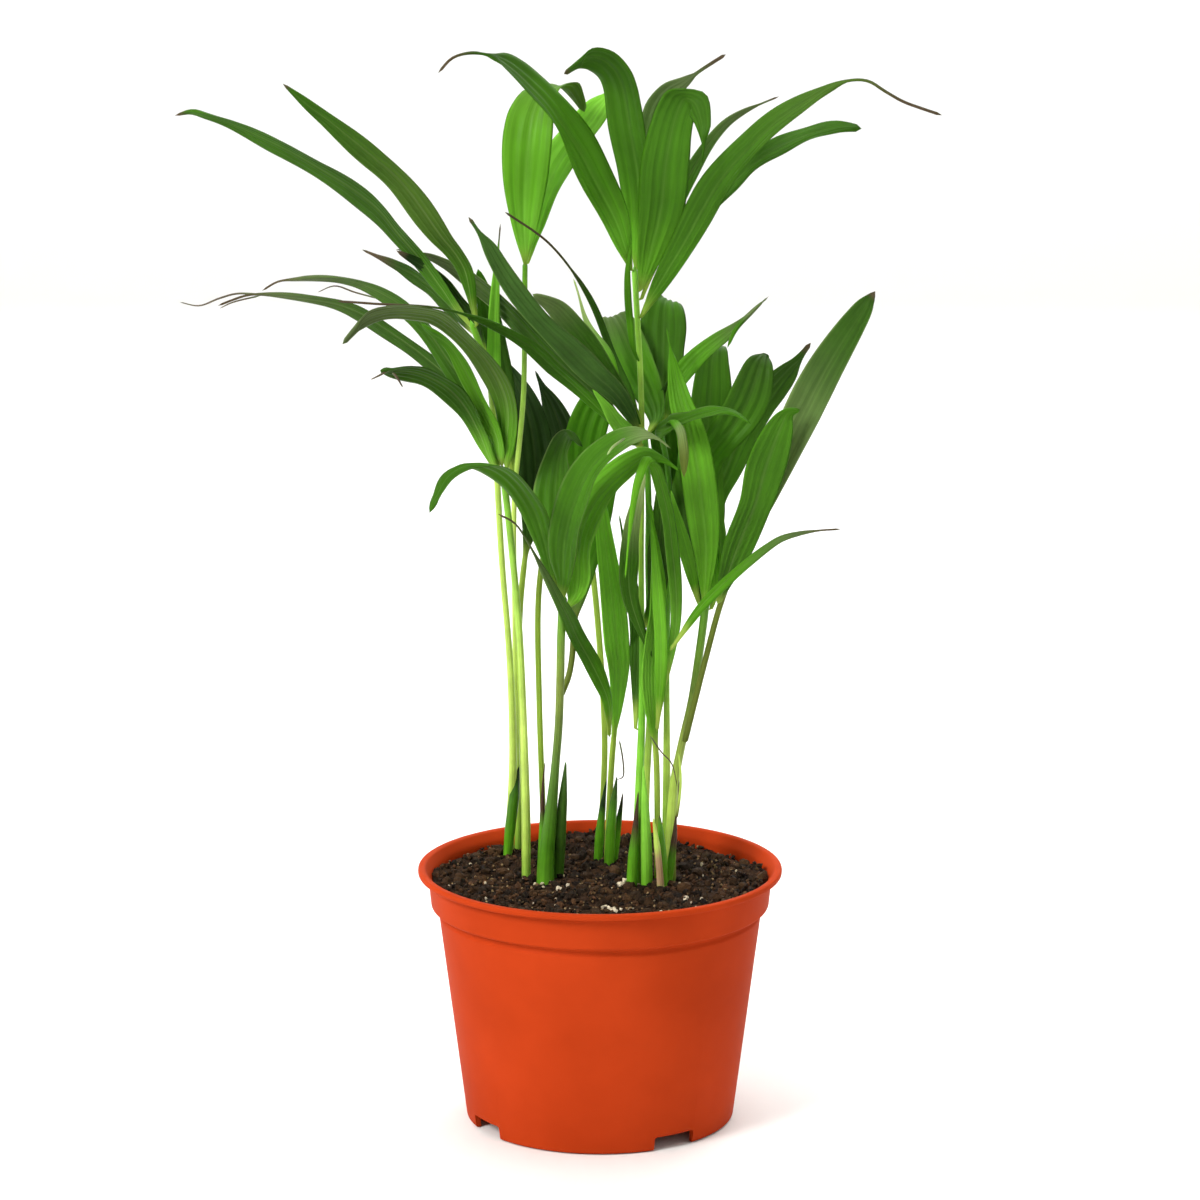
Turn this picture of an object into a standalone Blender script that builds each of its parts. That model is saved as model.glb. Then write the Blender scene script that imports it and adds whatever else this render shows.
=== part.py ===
"""A young feather palm growing in a round plastic nursery pot.

The pot is a turned wall with a rolled lip, a stepped collar, drain notches in its foot
and a small centre pad. Soil fills it nearly to the lip. Three clumps of seedlings stand
in the soil. Each leaf stalk is a tapered stem, and each leaflet is a thin folded blade.

The pot's axis is Z, the pot stands on Z = 0, and -Y is the front.
Tables are in millimetres and are turned into metres as the meshes are made.
"""

import math
import random

import bpy
import numpy as np

MM = 0.001
FIT = 0.3  # gap between neighbouring pieces

# Pot, a 6 inch nursery pot
POT_HEIGHT = 107.0
LIP_RADIUS = 76.0
LIP_THICKNESS = 2.4
COLLAR_RADIUS = 71.6
COLLAR_HEIGHT = 16.0
COLLAR_STEP = 4.2
FOOT_RADIUS = 56.0
WALL = 1.6
FLOOR_HEIGHT = 8.0
PAD_RADIUS = 12.0
POT_TURN_STEPS = 64

# Drain notches and drain holes
NOTCH_COUNT = 4
NOTCH_WIDTH = 19.0
NOTCH_HEIGHT = 5.8
NOTCH_FIRST_ANGLE = math.radians(-57.0)
DRAIN_RADIUS = 4.0
DRAIN_CENTRE_RADIUS = 46.0

# Soil
SOIL_TOP = 100.0
SOIL_BUMP = 1.1
SOIL_RINGS = 6
SOIL_STEPS = 32
PLANTING_DEPTH = 12.0
SOCKET_EASE = 0.3

# Stalks and blades
STATION_SPACING = 8.0
STALK_SPACING = 19.0
STALK_SIDES = 8
SHEATH_SHARE = 0.45  # how far up a stalk its thick lower part reaches
STALK_HALF_WIDTH = 1.3
BLADE_HALF_THICKNESS = 0.3
EDGE_SHARE = 0.5  # thickness of a blade's edge beside that of its midrib
BASE_HALF_WIDTH = 0.75
TIP_HALF_WIDTH = 0.35
SEAT_REACH = 7.0
BASE_TAPER = 0.8
SLENDER = 0.75  # how quickly a pointed blade narrows towards its tip
ROUND = 0.45  # the same for a blade whose tip is blunt or folded over

TONES = {
    "light": (0.22, 0.42, 0.06),
    "fresh": (0.13, 0.30, 0.04),
    "mid": (0.07, 0.20, 0.03),
    "dark": (0.03, 0.09, 0.02),
}
STALK_COLOUR = (0.42, 0.58, 0.16)
POT_COLOUR = (0.58, 0.06, 0.02)
SOIL_COLOUR = (0.035, 0.02, 0.013)

planted = []  # (x, y, radius) of every stem that goes into the soil
stalk_lines = []  # (centre, radius) about every millimetre along every stalk


def clear_scene():
    for item in list(bpy.data.objects):
        bpy.data.objects.remove(item, do_unlink=True)


def finish(item, colour, roughness):
    """Gives an object its own material and smooth shading with crisp corners."""
    skin = bpy.data.materials.new(item.name + "_finish")
    skin.use_nodes = True
    shader = skin.node_tree.nodes["Principled BSDF"]
    shader.inputs["Base Color"].default_value = (*colour, 1.0)
    shader.inputs["Roughness"].default_value = roughness
    item.data.materials.append(skin)
    item.data.shade_smooth()
    item.data.set_sharp_from_angle(angle=math.radians(40))


def add_mesh(name, points, faces):
    """Adds a mesh object from points in millimetres."""
    mesh = bpy.data.meshes.new(name)
    mesh.from_pydata([tuple(np.array(p) * MM) for p in points], [], faces)
    mesh.update()
    item = bpy.data.objects.new(name, mesh)
    bpy.context.scene.collection.objects.link(item)
    return item


def smooth_path(points, spacing):
    """Evenly spaced stations on a smooth curve through the guide points."""
    guide = np.array(points, float)
    control = np.vstack([2 * guide[0] - guide[1], guide, 2 * guide[-1] - guide[-2]])
    fine = []
    for i in range(len(guide) - 1):
        a, b, c, d = control[i:i + 4]
        for t in np.linspace(0.0, 1.0, 16, endpoint=False):
            bend = (2 * a - 5 * b + 4 * c - d) * t + (3 * b - a - 3 * c + d) * t * t
            fine.append(b + 0.5 * t * (c - a + bend))
    fine.append(guide[-1])
    fine = np.array(fine)
    steps = np.linalg.norm(np.diff(fine, axis=0), axis=1)
    distance = np.concatenate([[0.0], np.cumsum(steps)])
    count = max(6, round(distance[-1] / spacing) + 1)
    even = np.linspace(0.0, distance[-1], count)
    return np.column_stack([np.interp(even, distance, fine[:, k]) for k in range(3)])


def unit(vector):
    return vector / np.linalg.norm(vector)


def sweep(name, path, across_ends, section):
    """A closed solid along a path. section(share) gives the ring as (across, up) pairs."""
    tangents = np.gradient(path, axis=0)
    base_across = unit(np.array(across_ends[0], float))
    tip_across = unit(np.array(across_ends[1], float))
    points = []
    last = len(path) - 1
    for i, centre in enumerate(path):
        share = i / last
        along = unit(tangents[i])
        wanted = (1 - share) * base_across + share * tip_across
        across = unit(wanted - along * np.dot(wanted, along))
        up = np.cross(along, across)
        ring = section(share)
        points += [centre + across * x + up * y for x, y in ring]
    size = len(ring)
    faces = [tuple(range(size)), tuple(last * size + k for k in reversed(range(size)))]
    for i in range(last):
        for k in range(size):
            a = i * size + k
            b = i * size + (k + 1) % size
            if k < size // 2:
                faces += [(a, a + size, b + size), (a, b + size, b)]
            else:
                faces += [(a, a + size, b), (b, a + size, b + size)]
    return add_mesh(name, points, faces)


def plant(path, radius):
    """Adds a straight root end under the soil line and notes where it goes in."""
    x, y, _ = path[0]
    planted.append((x, y, radius))
    deep = SOIL_TOP - PLANTING_DEPTH
    return ((x, y, deep), (x, y, deep + 8.0), (x, y, SOIL_TOP + 4.0), *path[1:])


def seat(point, half_width):
    """Moves a leaflet's base sideways until it almost touches the nearest stalk."""
    point = np.array(point, float)
    centre, radius = min(stalk_lines, key=lambda line: np.linalg.norm(line[0] - point))
    reach = np.linalg.norm(point - centre)
    if reach > SEAT_REACH:
        return point
    return centre + (point - centre) / reach * (radius + FIT + half_width)


def stalk(name, path, base_radius, tip_radius):
    """A round leaf stalk, thickest in the sheathed part just above the soil."""
    stations = smooth_path(plant(path, base_radius), STALK_SPACING)
    last = len(stations) - 1

    def radius_at(share):
        return base_radius + (tip_radius - base_radius) * min(1.0, share / SHEATH_SHARE)

    def section(share):
        radius = radius_at(share)
        turns = [2 * math.pi * k / STALK_SIDES for k in range(STALK_SIDES)]
        return [(radius * math.cos(t), -radius * math.sin(t)) for t in turns]

    for i in range(last):
        for part in np.linspace(0.0, 1.0, round(STALK_SPACING)):
            centre = stations[i] + (stations[i + 1] - stations[i]) * part
            stalk_lines.append((centre, radius_at((i + part) / last)))
    item = sweep("stalk_" + name, stations, ((1, 0, 0), (1, 0, 0)), section)
    finish(item, STALK_COLOUR, 0.4)


def blade_half_width(share, half_width, widest, thread, taper):
    """Half width of a leaflet: swells to its widest place, then runs out to a thread."""
    body = min(1.0, share / (1.0 - thread))
    if body < widest:
        swell = math.sin(math.pi / 2 * body / widest) ** BASE_TAPER
    else:
        swell = math.cos(math.pi / 2 * (body - widest) / (1.0 - widest)) ** taper
    return max(TIP_HALF_WIDTH, half_width * swell)


def leaf(name, path, across, width, widest=0.45, thread=0.06, taper=SLENDER, fold=0.2,
         stem=0.0, rooted=False, tone="mid"):
    """A leaflet folded along its midrib. stem is the share that is its own thin stalk."""
    start = STALK_HALF_WIDTH if stem else BASE_HALF_WIDTH
    route = plant(path, start) if rooted else (seat(path[0], start), *path[1:])

    def section(share):
        if share < stem:
            w = STALK_HALF_WIDTH
            h = STALK_HALF_WIDTH
            ridge = 0.0
        else:
            body = (share - stem) / (1.0 - stem)
            ease = max(0.0, 1.0 - 5.0 * body)
            swell = blade_half_width(body, width / 2.0, widest, thread, taper)
            w = max(swell, start * ease)
            h = BLADE_HALF_THICKNESS + (start - BLADE_HALF_THICKNESS) * ease * 0.7
            ridge = fold * w * (1.0 - ease)
        edge = h * EDGE_SHARE
        return [(-w, edge), (0.0, ridge + h), (w, edge), (w, -edge), (0.0, ridge - h), (-w, -edge)]

    item = sweep("leaf_" + name, smooth_path(route, STATION_SPACING), across, section)
    finish(item, TONES[tone], 0.38)


def add_pot():
    top = POT_HEIGHT
    shoulder = top - COLLAR_HEIGHT
    body_top = COLLAR_RADIUS - COLLAR_STEP
    inner_lip = LIP_RADIUS - 3.0
    lip_low = top - LIP_THICKNESS
    profile = [
        (inner_lip, top - 0.4), (inner_lip + 0.8, top), (LIP_RADIUS - 0.7, top),
        (LIP_RADIUS, top - 0.8), (LIP_RADIUS, lip_low + 0.6), (LIP_RADIUS - 0.6, lip_low),
        (COLLAR_RADIUS + 0.3, lip_low - 0.5), (COLLAR_RADIUS, lip_low - 1.4),
        (COLLAR_RADIUS - 0.7, shoulder + 1.2), (COLLAR_RADIUS - 1.4, shoulder),
        (body_top + 0.6, shoulder - 2.0), (body_top, shoulder - 3.2),
        (FOOT_RADIUS + 0.15, 1.0), (FOOT_RADIUS - 0.6, 0.0),
        (FOOT_RADIUS - 2.0, 0.0), (FOOT_RADIUS - 2.0, FLOOR_HEIGHT - WALL),
        (PAD_RADIUS, FLOOR_HEIGHT - WALL), (PAD_RADIUS, 0.0), (0.0, 0.0),
        (0.0, FLOOR_HEIGHT), (FOOT_RADIUS - WALL, FLOOR_HEIGHT),
        (body_top - WALL, shoulder - 2.6), (COLLAR_RADIUS - 0.7 - WALL, shoulder + 1.4),
        (COLLAR_RADIUS - WALL + 0.2, lip_low - 1.4),
    ]
    steps = POT_TURN_STEPS
    points = []
    rows = []
    for radius, height in profile:
        if radius == 0.0:
            rows.append([len(points)] * steps)
            points.append((0.0, 0.0, height))
            continue
        rows.append([len(points) + k for k in range(steps)])
        for k in range(steps):
            turn = 2 * math.pi * k / steps
            points.append((radius * math.cos(turn), radius * math.sin(turn), height))
    faces = []
    for i in range(len(rows)):
        upper = rows[i]
        lower = rows[(i + 1) % len(rows)]
        for k in range(steps):
            n = (k + 1) % steps
            corners = (upper[k], lower[k], lower[n], upper[n])
            loop = tuple(dict.fromkeys(corners))
            if len(loop) > 2:
                faces.append(loop)
    pot = add_mesh("pot", points, faces)
    cut_pot(pot)
    finish(pot, POT_COLOUR, 0.38)


def cut_pot(pot):
    """Cuts the drain notches through the foot ring and a drain hole behind each."""
    for i in range(NOTCH_COUNT):
        turn = NOTCH_FIRST_ANGLE + 2 * math.pi * i / NOTCH_COUNT
        where = np.array([math.cos(turn), math.sin(turn)])
        bpy.ops.mesh.primitive_cube_add(size=1.0)
        notch = bpy.context.object
        notch.name = "cut_notch_%d" % (i + 1)
        notch.dimensions = (14.0 * MM, NOTCH_WIDTH * MM, 2 * NOTCH_HEIGHT * MM)
        notch.rotation_euler[2] = turn
        notch.location = (*(where * FOOT_RADIUS * MM), 0.0)
        bpy.ops.mesh.primitive_cylinder_add(vertices=20, radius=DRAIN_RADIUS * MM,
                                            depth=4 * FLOOR_HEIGHT * MM)
        hole = bpy.context.object
        hole.name = "cut_drain_%d" % (i + 1)
        hole.location = (*(where * DRAIN_CENTRE_RADIUS * MM), 0.0)
        for cutter in (notch, hole):
            cutter.hide_render = True
            cutter.display_type = "WIRE"
            cut = pot.modifiers.new(cutter.name, "BOOLEAN")
            cut.operation = "DIFFERENCE"
            cut.object = cutter


def soil_radius(height):
    """Radius of the soil at a height: the pot's inner wall less the fit."""
    shoulder = POT_HEIGHT - COLLAR_HEIGHT
    body_top = COLLAR_RADIUS - COLLAR_STEP - WALL
    share = (height - FLOOR_HEIGHT) / (shoulder - 2.6 - FLOOR_HEIGHT)
    foot = FOOT_RADIUS - WALL
    return foot + (body_top - foot) * min(1.0, share) - FIT - 0.2


def add_soil():
    """Soil with a lumpy top. It follows the wall, and its surface spreads into the collar."""
    draw = random.Random(7)
    base = FLOOR_HEIGHT + FIT
    shoulder = POT_HEIGHT - COLLAR_HEIGHT - 3.2
    rim = COLLAR_RADIUS - 0.7 - WALL - FIT - 0.3
    side = [(soil_radius(base), base), (soil_radius(shoulder), shoulder),
            (rim, shoulder + 4.6), (rim, SOIL_TOP - 1.0)]
    points = [(0.0, 0.0, base)]
    rows = []
    for radius, height in side:
        rows.append(len(points))
        for k in range(SOIL_STEPS):
            turn = 2 * math.pi * k / SOIL_STEPS
            points.append((radius * math.cos(turn), radius * math.sin(turn), height))
    for i in range(SOIL_RINGS - 1, 0, -1):
        radius = rim * i / SOIL_RINGS
        rows.append(len(points))
        for k in range(SOIL_STEPS):
            turn = 2 * math.pi * k / SOIL_STEPS
            height = SOIL_TOP + draw.uniform(-SOIL_BUMP, SOIL_BUMP)
            points.append((radius * math.cos(turn), radius * math.sin(turn), height))
    points.append((0.0, 0.0, SOIL_TOP))
    faces = []
    for k in range(SOIL_STEPS):
        n = (k + 1) % SOIL_STEPS
        faces.append((0, rows[0] + n, rows[0] + k))
        for low, high in zip(rows, rows[1:]):
            faces.append((low + k, low + n, high + n, high + k))
        faces.append((rows[-1] + k, rows[-1] + n, len(points) - 1))
    soil = add_mesh("soil", points, faces)
    for i, (x, y, radius) in enumerate(planted):
        bpy.ops.mesh.primitive_cylinder_add(vertices=10, radius=(radius + SOCKET_EASE + FIT) * MM,
                                            depth=(PLANTING_DEPTH + FIT + 8.0) * MM)
        socket = bpy.context.object
        socket.name = "cut_socket_%d" % (i + 1)
        middle = SOIL_TOP + (8.0 - PLANTING_DEPTH - FIT) / 2
        socket.location = (x * MM, y * MM, middle * MM)
        socket.hide_render = True
        socket.display_type = "WIRE"
        cut = soil.modifiers.new(socket.name, "BOOLEAN")
        cut.operation = "DIFFERENCE"
        cut.object = socket
    finish(soil, SOIL_COLOUR, 0.95)


def add_stalks():
    """Stalks that carry several leaflets, from the left clump to the right one."""
    stalk("upper_left", ((-39, 44, 100), (-37, 38, 143), (-38, 31, 188), (-41, 25, 232),
          (-43, 17, 278), (-44, 14, 299), (-48, 12, 322), (-53, 9, 335)), 2.1, 1.3)
    stalk("top_left", ((-35, 52, 100), (-36, 50, 149), (-36, 46, 193), (-36, 40, 255),
          (-32, 38, 298), (-31, 36, 357)), 1.9, 1.1)
    stalk("left", ((-31, 7, 100), (-31, 8, 133), (-33, 6, 198), (-37, 0, 249),
          (-40, -7, 278)), 2.0, 1.4)
    stalk("front", ((-23, 2, 100), (-20, 0, 135), (-17, -5, 170), (-16, -12, 206),
          (-15, -17, 227)), 4.2, 1.7)
    stalk("top", ((15, -2, 100), (16, 0, 135), (17.5, 6, 176), (17, 9, 235), (17, 12, 301),
          (14, 15, 357)), 2.1, 1.2)
    stalk("centre", ((19, 9, 100), (19, 13, 132), (21, 19, 173), (20, 16, 234),
          (20, 10, 264), (18, 1, 292)), 2.0, 1.3)
    stalk("inner_right", ((28, 16, 100), (28, 18, 144), (28, 20, 199), (29, 18, 261),
          (24, 12, 292)), 2.2, 1.2)
    stalk("right", ((29, 0, 100), (31, 2, 143), (38, -1, 178), (43, -8, 217), (44, -10, 229)), 3.0, 1.7)


def add_upper_left_leaves():
    leaf("upper_left_1", ((-53, 12, 332), (-66, 24, 347), (-83, 36, 366), (-100, 48, 381),
         (-135, 67, 400), (-169, 81, 413), (-180, 85, 412)),
         ((3, -5, 8), (-3, -7, 6)), width=14.5, thread=0.03, taper=0.5)
    leaf("upper_left_2", ((-50, 8, 333), (-55, 4, 356), (-65, -3, 371), (-80, -16, 393),
         (-96, -27, 409), (-124, -42, 434.5)), ((9, -5, 1), (7, -3, 6)), width=12, thread=0.02,
         taper=0.6)
    leaf("upper_left_3", ((-50, 15, 328), (-67, 32, 342), (-84, 48, 352), (-100, 60, 358)),
         ((2, -4, 9), (0, -4, 9)), width=8, tone="dark")


def add_left_leaves():
    leaf("left_1", ((-37, -9, 276), (-38, -18, 302), (-44, -27, 319), (-58, -40, 337),
         (-67, -48, 344), (-88, -62, 346), (-100, -72, 336)),
         ((8, -6, -1), (-1, -8, 6)), width=16, widest=0.35, taper=ROUND, tone="fresh")
    leaf("left_2", ((-43, -7, 274), (-46, -7, 293), (-61, -10, 319.5), (-81, -8, 343),
         (-106, 0, 352.2), (-131, 10, 350.5), (-138, 12, 346.5)),
         ((8, -6, 2), (5, -8, 3)), width=12, widest=0.3)
    leaf("left_3", ((-42, -3, 276), (-47, 3, 292), (-58, 8, 307), (-83, 20, 325.5),
         (-108, 34, 337.5), (-143, 53, 340), (-161, 62, 334)),
         ((7, -6, 4), (5, -8, 4)), width=9.5, widest=0.35, thread=0.1)
    leaf("left_4", ((-41, -9, 271), (-49, -13, 291), (-57, -18, 306), (-69, -29, 317),
         (-87, -44, 322)), ((9, -5, 2), (7, -6, 5)), width=12, widest=0.75, thread=0.02,
         taper=ROUND, tone="dark")
    leaf("spear", ((-38, 38, 268), (-43, 31, 292), (-44, 29, 324), (-43, 30, 349),
         (-41, 31, 372)), ((9, 3, 1), (9, 3, -1)), width=6, fold=0.5, tone="light")


def add_centre_leaves():
    leaf("centre_1", ((17, 1, 289), (8, -14, 307), (-5, -24, 321), (-33.5, -37, 352.5),
         (-49, -42, 373.5), (-53, -44, 381)), ((7, 3, 7), (8, 4, 5)), width=13, taper=0.6,
         tone="dark")
    leaf("centre_2", ((16, 7, 282), (0, 14, 300), (-17, 20, 316), (-42, 34, 339),
         (-67, 52, 354), (-86, 62, 358)), ((4, -4, 8), (-1, -4, 9)), width=13, tone="dark")
    leaf("centre_3", ((16, 4, 285), (0, -3, 300), (-17, -8, 315.5), (-33, -15, 330.5),
         (-60, -23, 343), (-90, -26, 346), (-105, -26, 347)),
         ((6, -5, 6), (0, -6, 8)), width=7, widest=0.5, thread=0.32, tone="dark")
    leaf("centre_4", ((19, 9, 286), (14, 7, 300), (6, 14, 315), (-3, 22, 330),
         (-11, 27, 350)), ((8, 1, 6), (10, 2, 3)), width=6, tone="light")
    leaf("centre_5", ((14, 0, 284), (9, -18, 294), (2, -25, 305), (-3, -29, 312)),
         ((6, 4, 7), (7, 4, 6)), width=8, widest=0.4, tone="light")
    leaf("centre_6", ((22, 5, 290), (23, 12, 294), (21, 22, 301), (14, 36, 315), (8, 47, 328),
         (5, 56, 331), (3, 66, 322)), ((9, -3, 2), (9, -2, 3)), width=16, widest=0.6,
         tone="dark")
    leaf("centre_7", ((17, 13, 287), (12, 20, 302), (5, 30, 318), (-2, 35, 336), (-10, 34, 350),
         (-22, 29, 365), (-39, 20, 378)), ((9, 2, 4), (1, 5, 9)), width=5, widest=0.3,
         thread=0.3, tone="dark")
    leaf("centre_8", ((0, 41, 100), (2, 44, 150), (-1, 46, 202), (-6, 46, 250), (-7, 47, 276),
         (0, 50, 297), (12, 53, 313)), ((9, 0, 0), (7, 0, -5)), width=17, stem=0.72,
         rooted=True, tone="dark")


def add_back_leaves():
    leaf("back_1", ((-32, 25, 100), (-32.5, 28, 145), (-34, 32, 196), (-32, 39, 227),
         (-27, 47, 258), (-28, 56, 278), (-33, 66, 295), (-44, 84, 313)),
         ((9, 4, -2), (8, 3, 4)), width=16, stem=0.6, rooted=True, tone="dark")
    leaf("back_2", ((-24, 49, 100), (-26, 54, 165), (-26, 55, 213), (-20, 59, 251),
         (-17, 66, 267), (-18, 77, 281), (-28, 94, 302)), ((9, -3, -1), (6, -3, 7)),
         width=18, stem=0.62, rooted=True, tone="dark")


def add_top_leaves():
    leaf("top_left_1", ((-31, 34, 355), (-31, 36, 381), (-30, 40, 405), (-27, 45, 421),
         (-20, 51, 427.5), (-13, 56, 426.5), (-7, 62, 415)), ((9, 4, 1), (7, -7, 1)),
         width=21, widest=0.55, taper=ROUND, tone="fresh")
    leaf("top_left_2", ((-30, 38, 355), (-26, 47, 375), (-22, 55, 387), (-16, 62, 398),
         (-4, 70, 413), (3, 76, 421), (9, 84, 421)), ((9, -4, -1), (8, -5, -3)), width=16,
         widest=0.6, tone="fresh")
    leaf("top_1", ((12, 12, 355), (6, 1, 379), (-4, -10, 400), (-14, -22, 419),
         (-26, -32, 433), (-37, -38, 442), (-47, -43, 446), (-56, -46, 445.5),
         (-63, -48, 439)), ((8, 4, 5), (-5, 7, 5)), width=21, widest=0.5, thread=0.17,
         taper=ROUND)
    leaf("top_2", ((15, 18, 355), (15.5, 12, 384), (11.5, 7, 408), (8, 0, 426), (3, -10, 438.5),
         (-5, -20, 444), (-15, -33, 438.5)), ((9, -3, 0), (-2, -7, 7)), width=19, widest=0.5,
         taper=0.6)
    leaf("top_3", ((17, 13, 347), (24, 2, 377), (26, -7, 399), (29, -13, 417),
         (33, -19, 426), (38, -23, 426), (41, -25, 415), (40.5, -27, 402)),
         ((10, 2, 0), (7, -7, 1)), width=20, taper=0.6)
    leaf("top_4", ((17, 17, 346), (20, 42, 372), (21, 54, 400), (25, 62, 420),
         (33, 62, 426), (42, 58, 433), (52, 50, 440)), ((10, -3, 1), (2, -4, -9)),
         width=13, widest=0.6, thread=0.12, tone="dark")
    leaf("top_5", ((19, 15, 343), (33, 34, 384), (40, 46, 398), (50, 52, 409.7),
         (60, 52, 416.5), (74, 46, 423)), ((9, 3, -4), (5, 3, -8)), width=7)
    leaf("top_6", ((18, 11, 336), (35, -3, 371), (47, -21, 395), (63, -32, 414),
         (78, -40, 426), (93, -44, 434), (103, -46, 436), (117, -50, 428.5), (133, -52, 423)),
         ((8, -4, -5), (-2, -7, -7)), width=15, widest=0.45, thread=0.22)
    leaf("top_7", ((36, 0, 370), (52, 0, 390), (64, -6, 402.5), (79, -11, 411),
         (93, -16, 415.5), (104, -18, 415)), ((5, -6, -6), (-2, -7, -6)), width=10,
         widest=0.6, taper=ROUND)


def add_right_leaves():
    leaf("inner_right_1", ((25, 16, 290), (26, 30, 306), (26, 42, 322), (27, 51, 335),
         (29, 61, 337), (30, 71, 325)), ((9, -4, -3), (9, -4, -3)), width=16, widest=0.5,
         tone="dark")
    leaf("inner_right_2", ((22, 10, 288), (25, -10, 293), (28, -22, 297), (35, -29, 301), (44, -33, 304),
         (53, -38, 304), (60, -42, 300)), ((-1, -4, -9), (-6, -7, -2)), width=11)
    leaf("inner_right_3", ((28, 13, 289), (31, 6, 309), (41, 4, 322), (53, -2, 332),
         (68, -10, 347)), ((8, -5, -3), (4, -5, -8)), width=8.5, thread=0.15, tone="fresh")
    leaf("right_1", ((43, -10, 219), (43, -14, 244), (41, -17, 265), (39, -18, 281),
         (36, -16, 295), (32, -11, 307), (27, 0, 333)), ((9, -3, 0), (10, 2, 1)),
         width=14, tone="light")
    leaf("right_2", ((42, -5, 217), (39, 9, 243), (37, 21, 258), (33, 30, 273),
         (32, 40, 276), (31, 52, 268)), ((10, -4, 0), (10, -4, 0)), width=14.5, tone="dark")
    leaf("right_3", ((41, -8, 220), (36, -4, 238), (32, -1, 254), (29, 1, 266)),
         ((9, -3, 3), (9, -3, 3)), width=6, tone="fresh")
    leaf("right_4", ((44.5, -5, 222), (46.5, 13, 262), (46.5, 22, 298), (47.5, 31, 318),
         (48.5, 42, 320), (49, 54, 308)), ((9, 4, -2), (9, 3, -2)), width=19, widest=0.6)
    leaf("right_5", ((47, -8, 218), (49.5, -7, 236), (54.5, -5.5, 266), (58, -6, 292), (62, -9, 312),
         (65, -4, 321), (68, 8, 320)), ((9, -3, -2), (10, 2, -3)), width=19, widest=0.65)
    leaf("right_6", ((44, -5, 229), (48, -1, 237), (62, 22, 272), (68.5, 35, 295), (78, 41, 307.5),
         (88, 42, 321)), ((9, 4, -3), (6, 5, -6)), width=16, widest=0.6, tone="dark")
    leaf("far_right_1", ((36, -5, 161), (43.5, -10, 198), (51, -11.5, 226), (64, -21, 261),
         (78, -36, 298), (88, -46, 321), (107, -66, 356)), ((8, -3, -5), (7, -5, -6)),
         width=16, widest=0.6, thread=0.01, taper=ROUND, stem=0.36)
    leaf("far_right_2", ((48, -14, 221), (57.5, -25, 252), (65, -35, 278), (72, -42, 299),
         (76, -47, 307), (79, -50, 307)), ((10, 2, -2), (9, -2, -4)), width=17,
         widest=0.6, taper=ROUND, tone="fresh")
    leaf("low_right", ((28.5, -16, 202), (44, -31, 227), (68, -43, 251), (81, -47, 257),
         (96, -50, 259)), ((6, -5, -6), (-1, -7, -7)), width=5)


def add_front_leaves():
    leaf("front_1", ((-17, -18, 224), (-23.5, -27, 252), (-29, -38, 267.5), (-38.5, -51, 281),
         (-48.5, -62, 287), (-59, -72, 286), (-66.5, -80, 271)), ((9, -1, 0), (5, -7, 2)),
         width=14, widest=0.65, thread=0.02, taper=ROUND)
    leaf("front_2", ((-16, -14, 225), (-18, -9, 247), (-19, -5, 267), (-17, -3, 283),
         (-12, -8, 290), (-7, -13, 286)), ((9, 3, 0), (4, -7, 6)), width=18, widest=0.55)
    leaf("front_3", ((-15, -19, 225), (-15, -36, 252), (-10, -43, 272), (-4, -48, 285),
         (8, -52, 295), (19, -57, 298), (28, -60, 293)), ((9, -4, 0), (-3, -5, -8)),
         width=18, widest=0.5)
    leaf("front_4", ((-12, -18, 220), (-9, -21, 230), (-10, -26, 249), (-3, -30, 267), (8, -35, 280),
         (20, -39, 287), (32, -43, 281)), ((9, -4, -2), (-4, -5, -8)), width=19)
    leaf("front_5", ((-15, -2, 182), (-12, 2, 192), (-10, 7, 216), (-7, 11, 235),
         (3, 24, 261), (11, 34, 269)), ((9, -4, -1), (8, -3, -4)), width=14, stem=0.3,
         tone="dark")


def add_inner_leaves():
    leaf("inner_1", ((24, 0, 100), (23.5, -1, 150), (21, -4, 182), (22, -9, 204),
         (24, -13, 224), (21, -18, 263)), ((9, 4, 1), (9, 4, 2)), width=9, stem=0.37,
         rooted=True, tone="light")
    leaf("inner_2", ((13, 4, 165), (15.5, 14, 189), (15, 23, 209), (8, 33, 250)),
         ((9, -3, 2), (9, -3, 2)), width=7, tone="dark")
    leaf("inner_3", ((23.5, -3.5, 165), (25, -12, 190), (24, -19, 222), (20, -27, 267)),
         ((9, -4, -2), (9, -4, 0)), width=6, tone="light")
    leaf("inner_4", ((25, -2, 176), (31, -16, 215), (29, -24, 248), (26, -31, 267),
         (20, -44, 286), (15, -49, 278), (12, -51, 260), (10, -51, 239)),
         ((9, 4, 0), (9, 4, -1)), width=6, tone="light")
    leaf("low_1", ((3, 29, 100), (5, 28, 145), (8, 21, 182), (7, 15, 200), (5, 7, 223),
         (2, 0, 243), (-1, -6, 265)), ((9, 4, 1), (9, 4, 2)), width=10.5, stem=0.36,
         rooted=True, tone="fresh")
    leaf("low_2", ((4, 24.5, 156), (3, 14, 175), (-2, 4, 190), (-9, -8, 206),
         (-16, -26, 224), (-32, -36, 256), (-41, -38, 263)), ((8, 5, 4), (5, 5, 7)),
         width=8, thread=0.15)


clear_scene()
add_pot()
add_stalks()
add_upper_left_leaves()
add_left_leaves()
add_centre_leaves()
add_back_leaves()
add_top_leaves()
add_right_leaves()
add_front_leaves()
add_inner_leaves()
add_soil()
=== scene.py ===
# %% [markdown]
# # A young potted palm
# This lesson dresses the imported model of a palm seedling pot. The CAD nodes give every
# stalk, leaflet, the soil and the pot their place and size. Each one is read here and a
# finer piece is built over it, so nothing drifts away from the frame.

import math
import random

import bmesh
import bpy
import numpy as np
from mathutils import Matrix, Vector, noise


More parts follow.
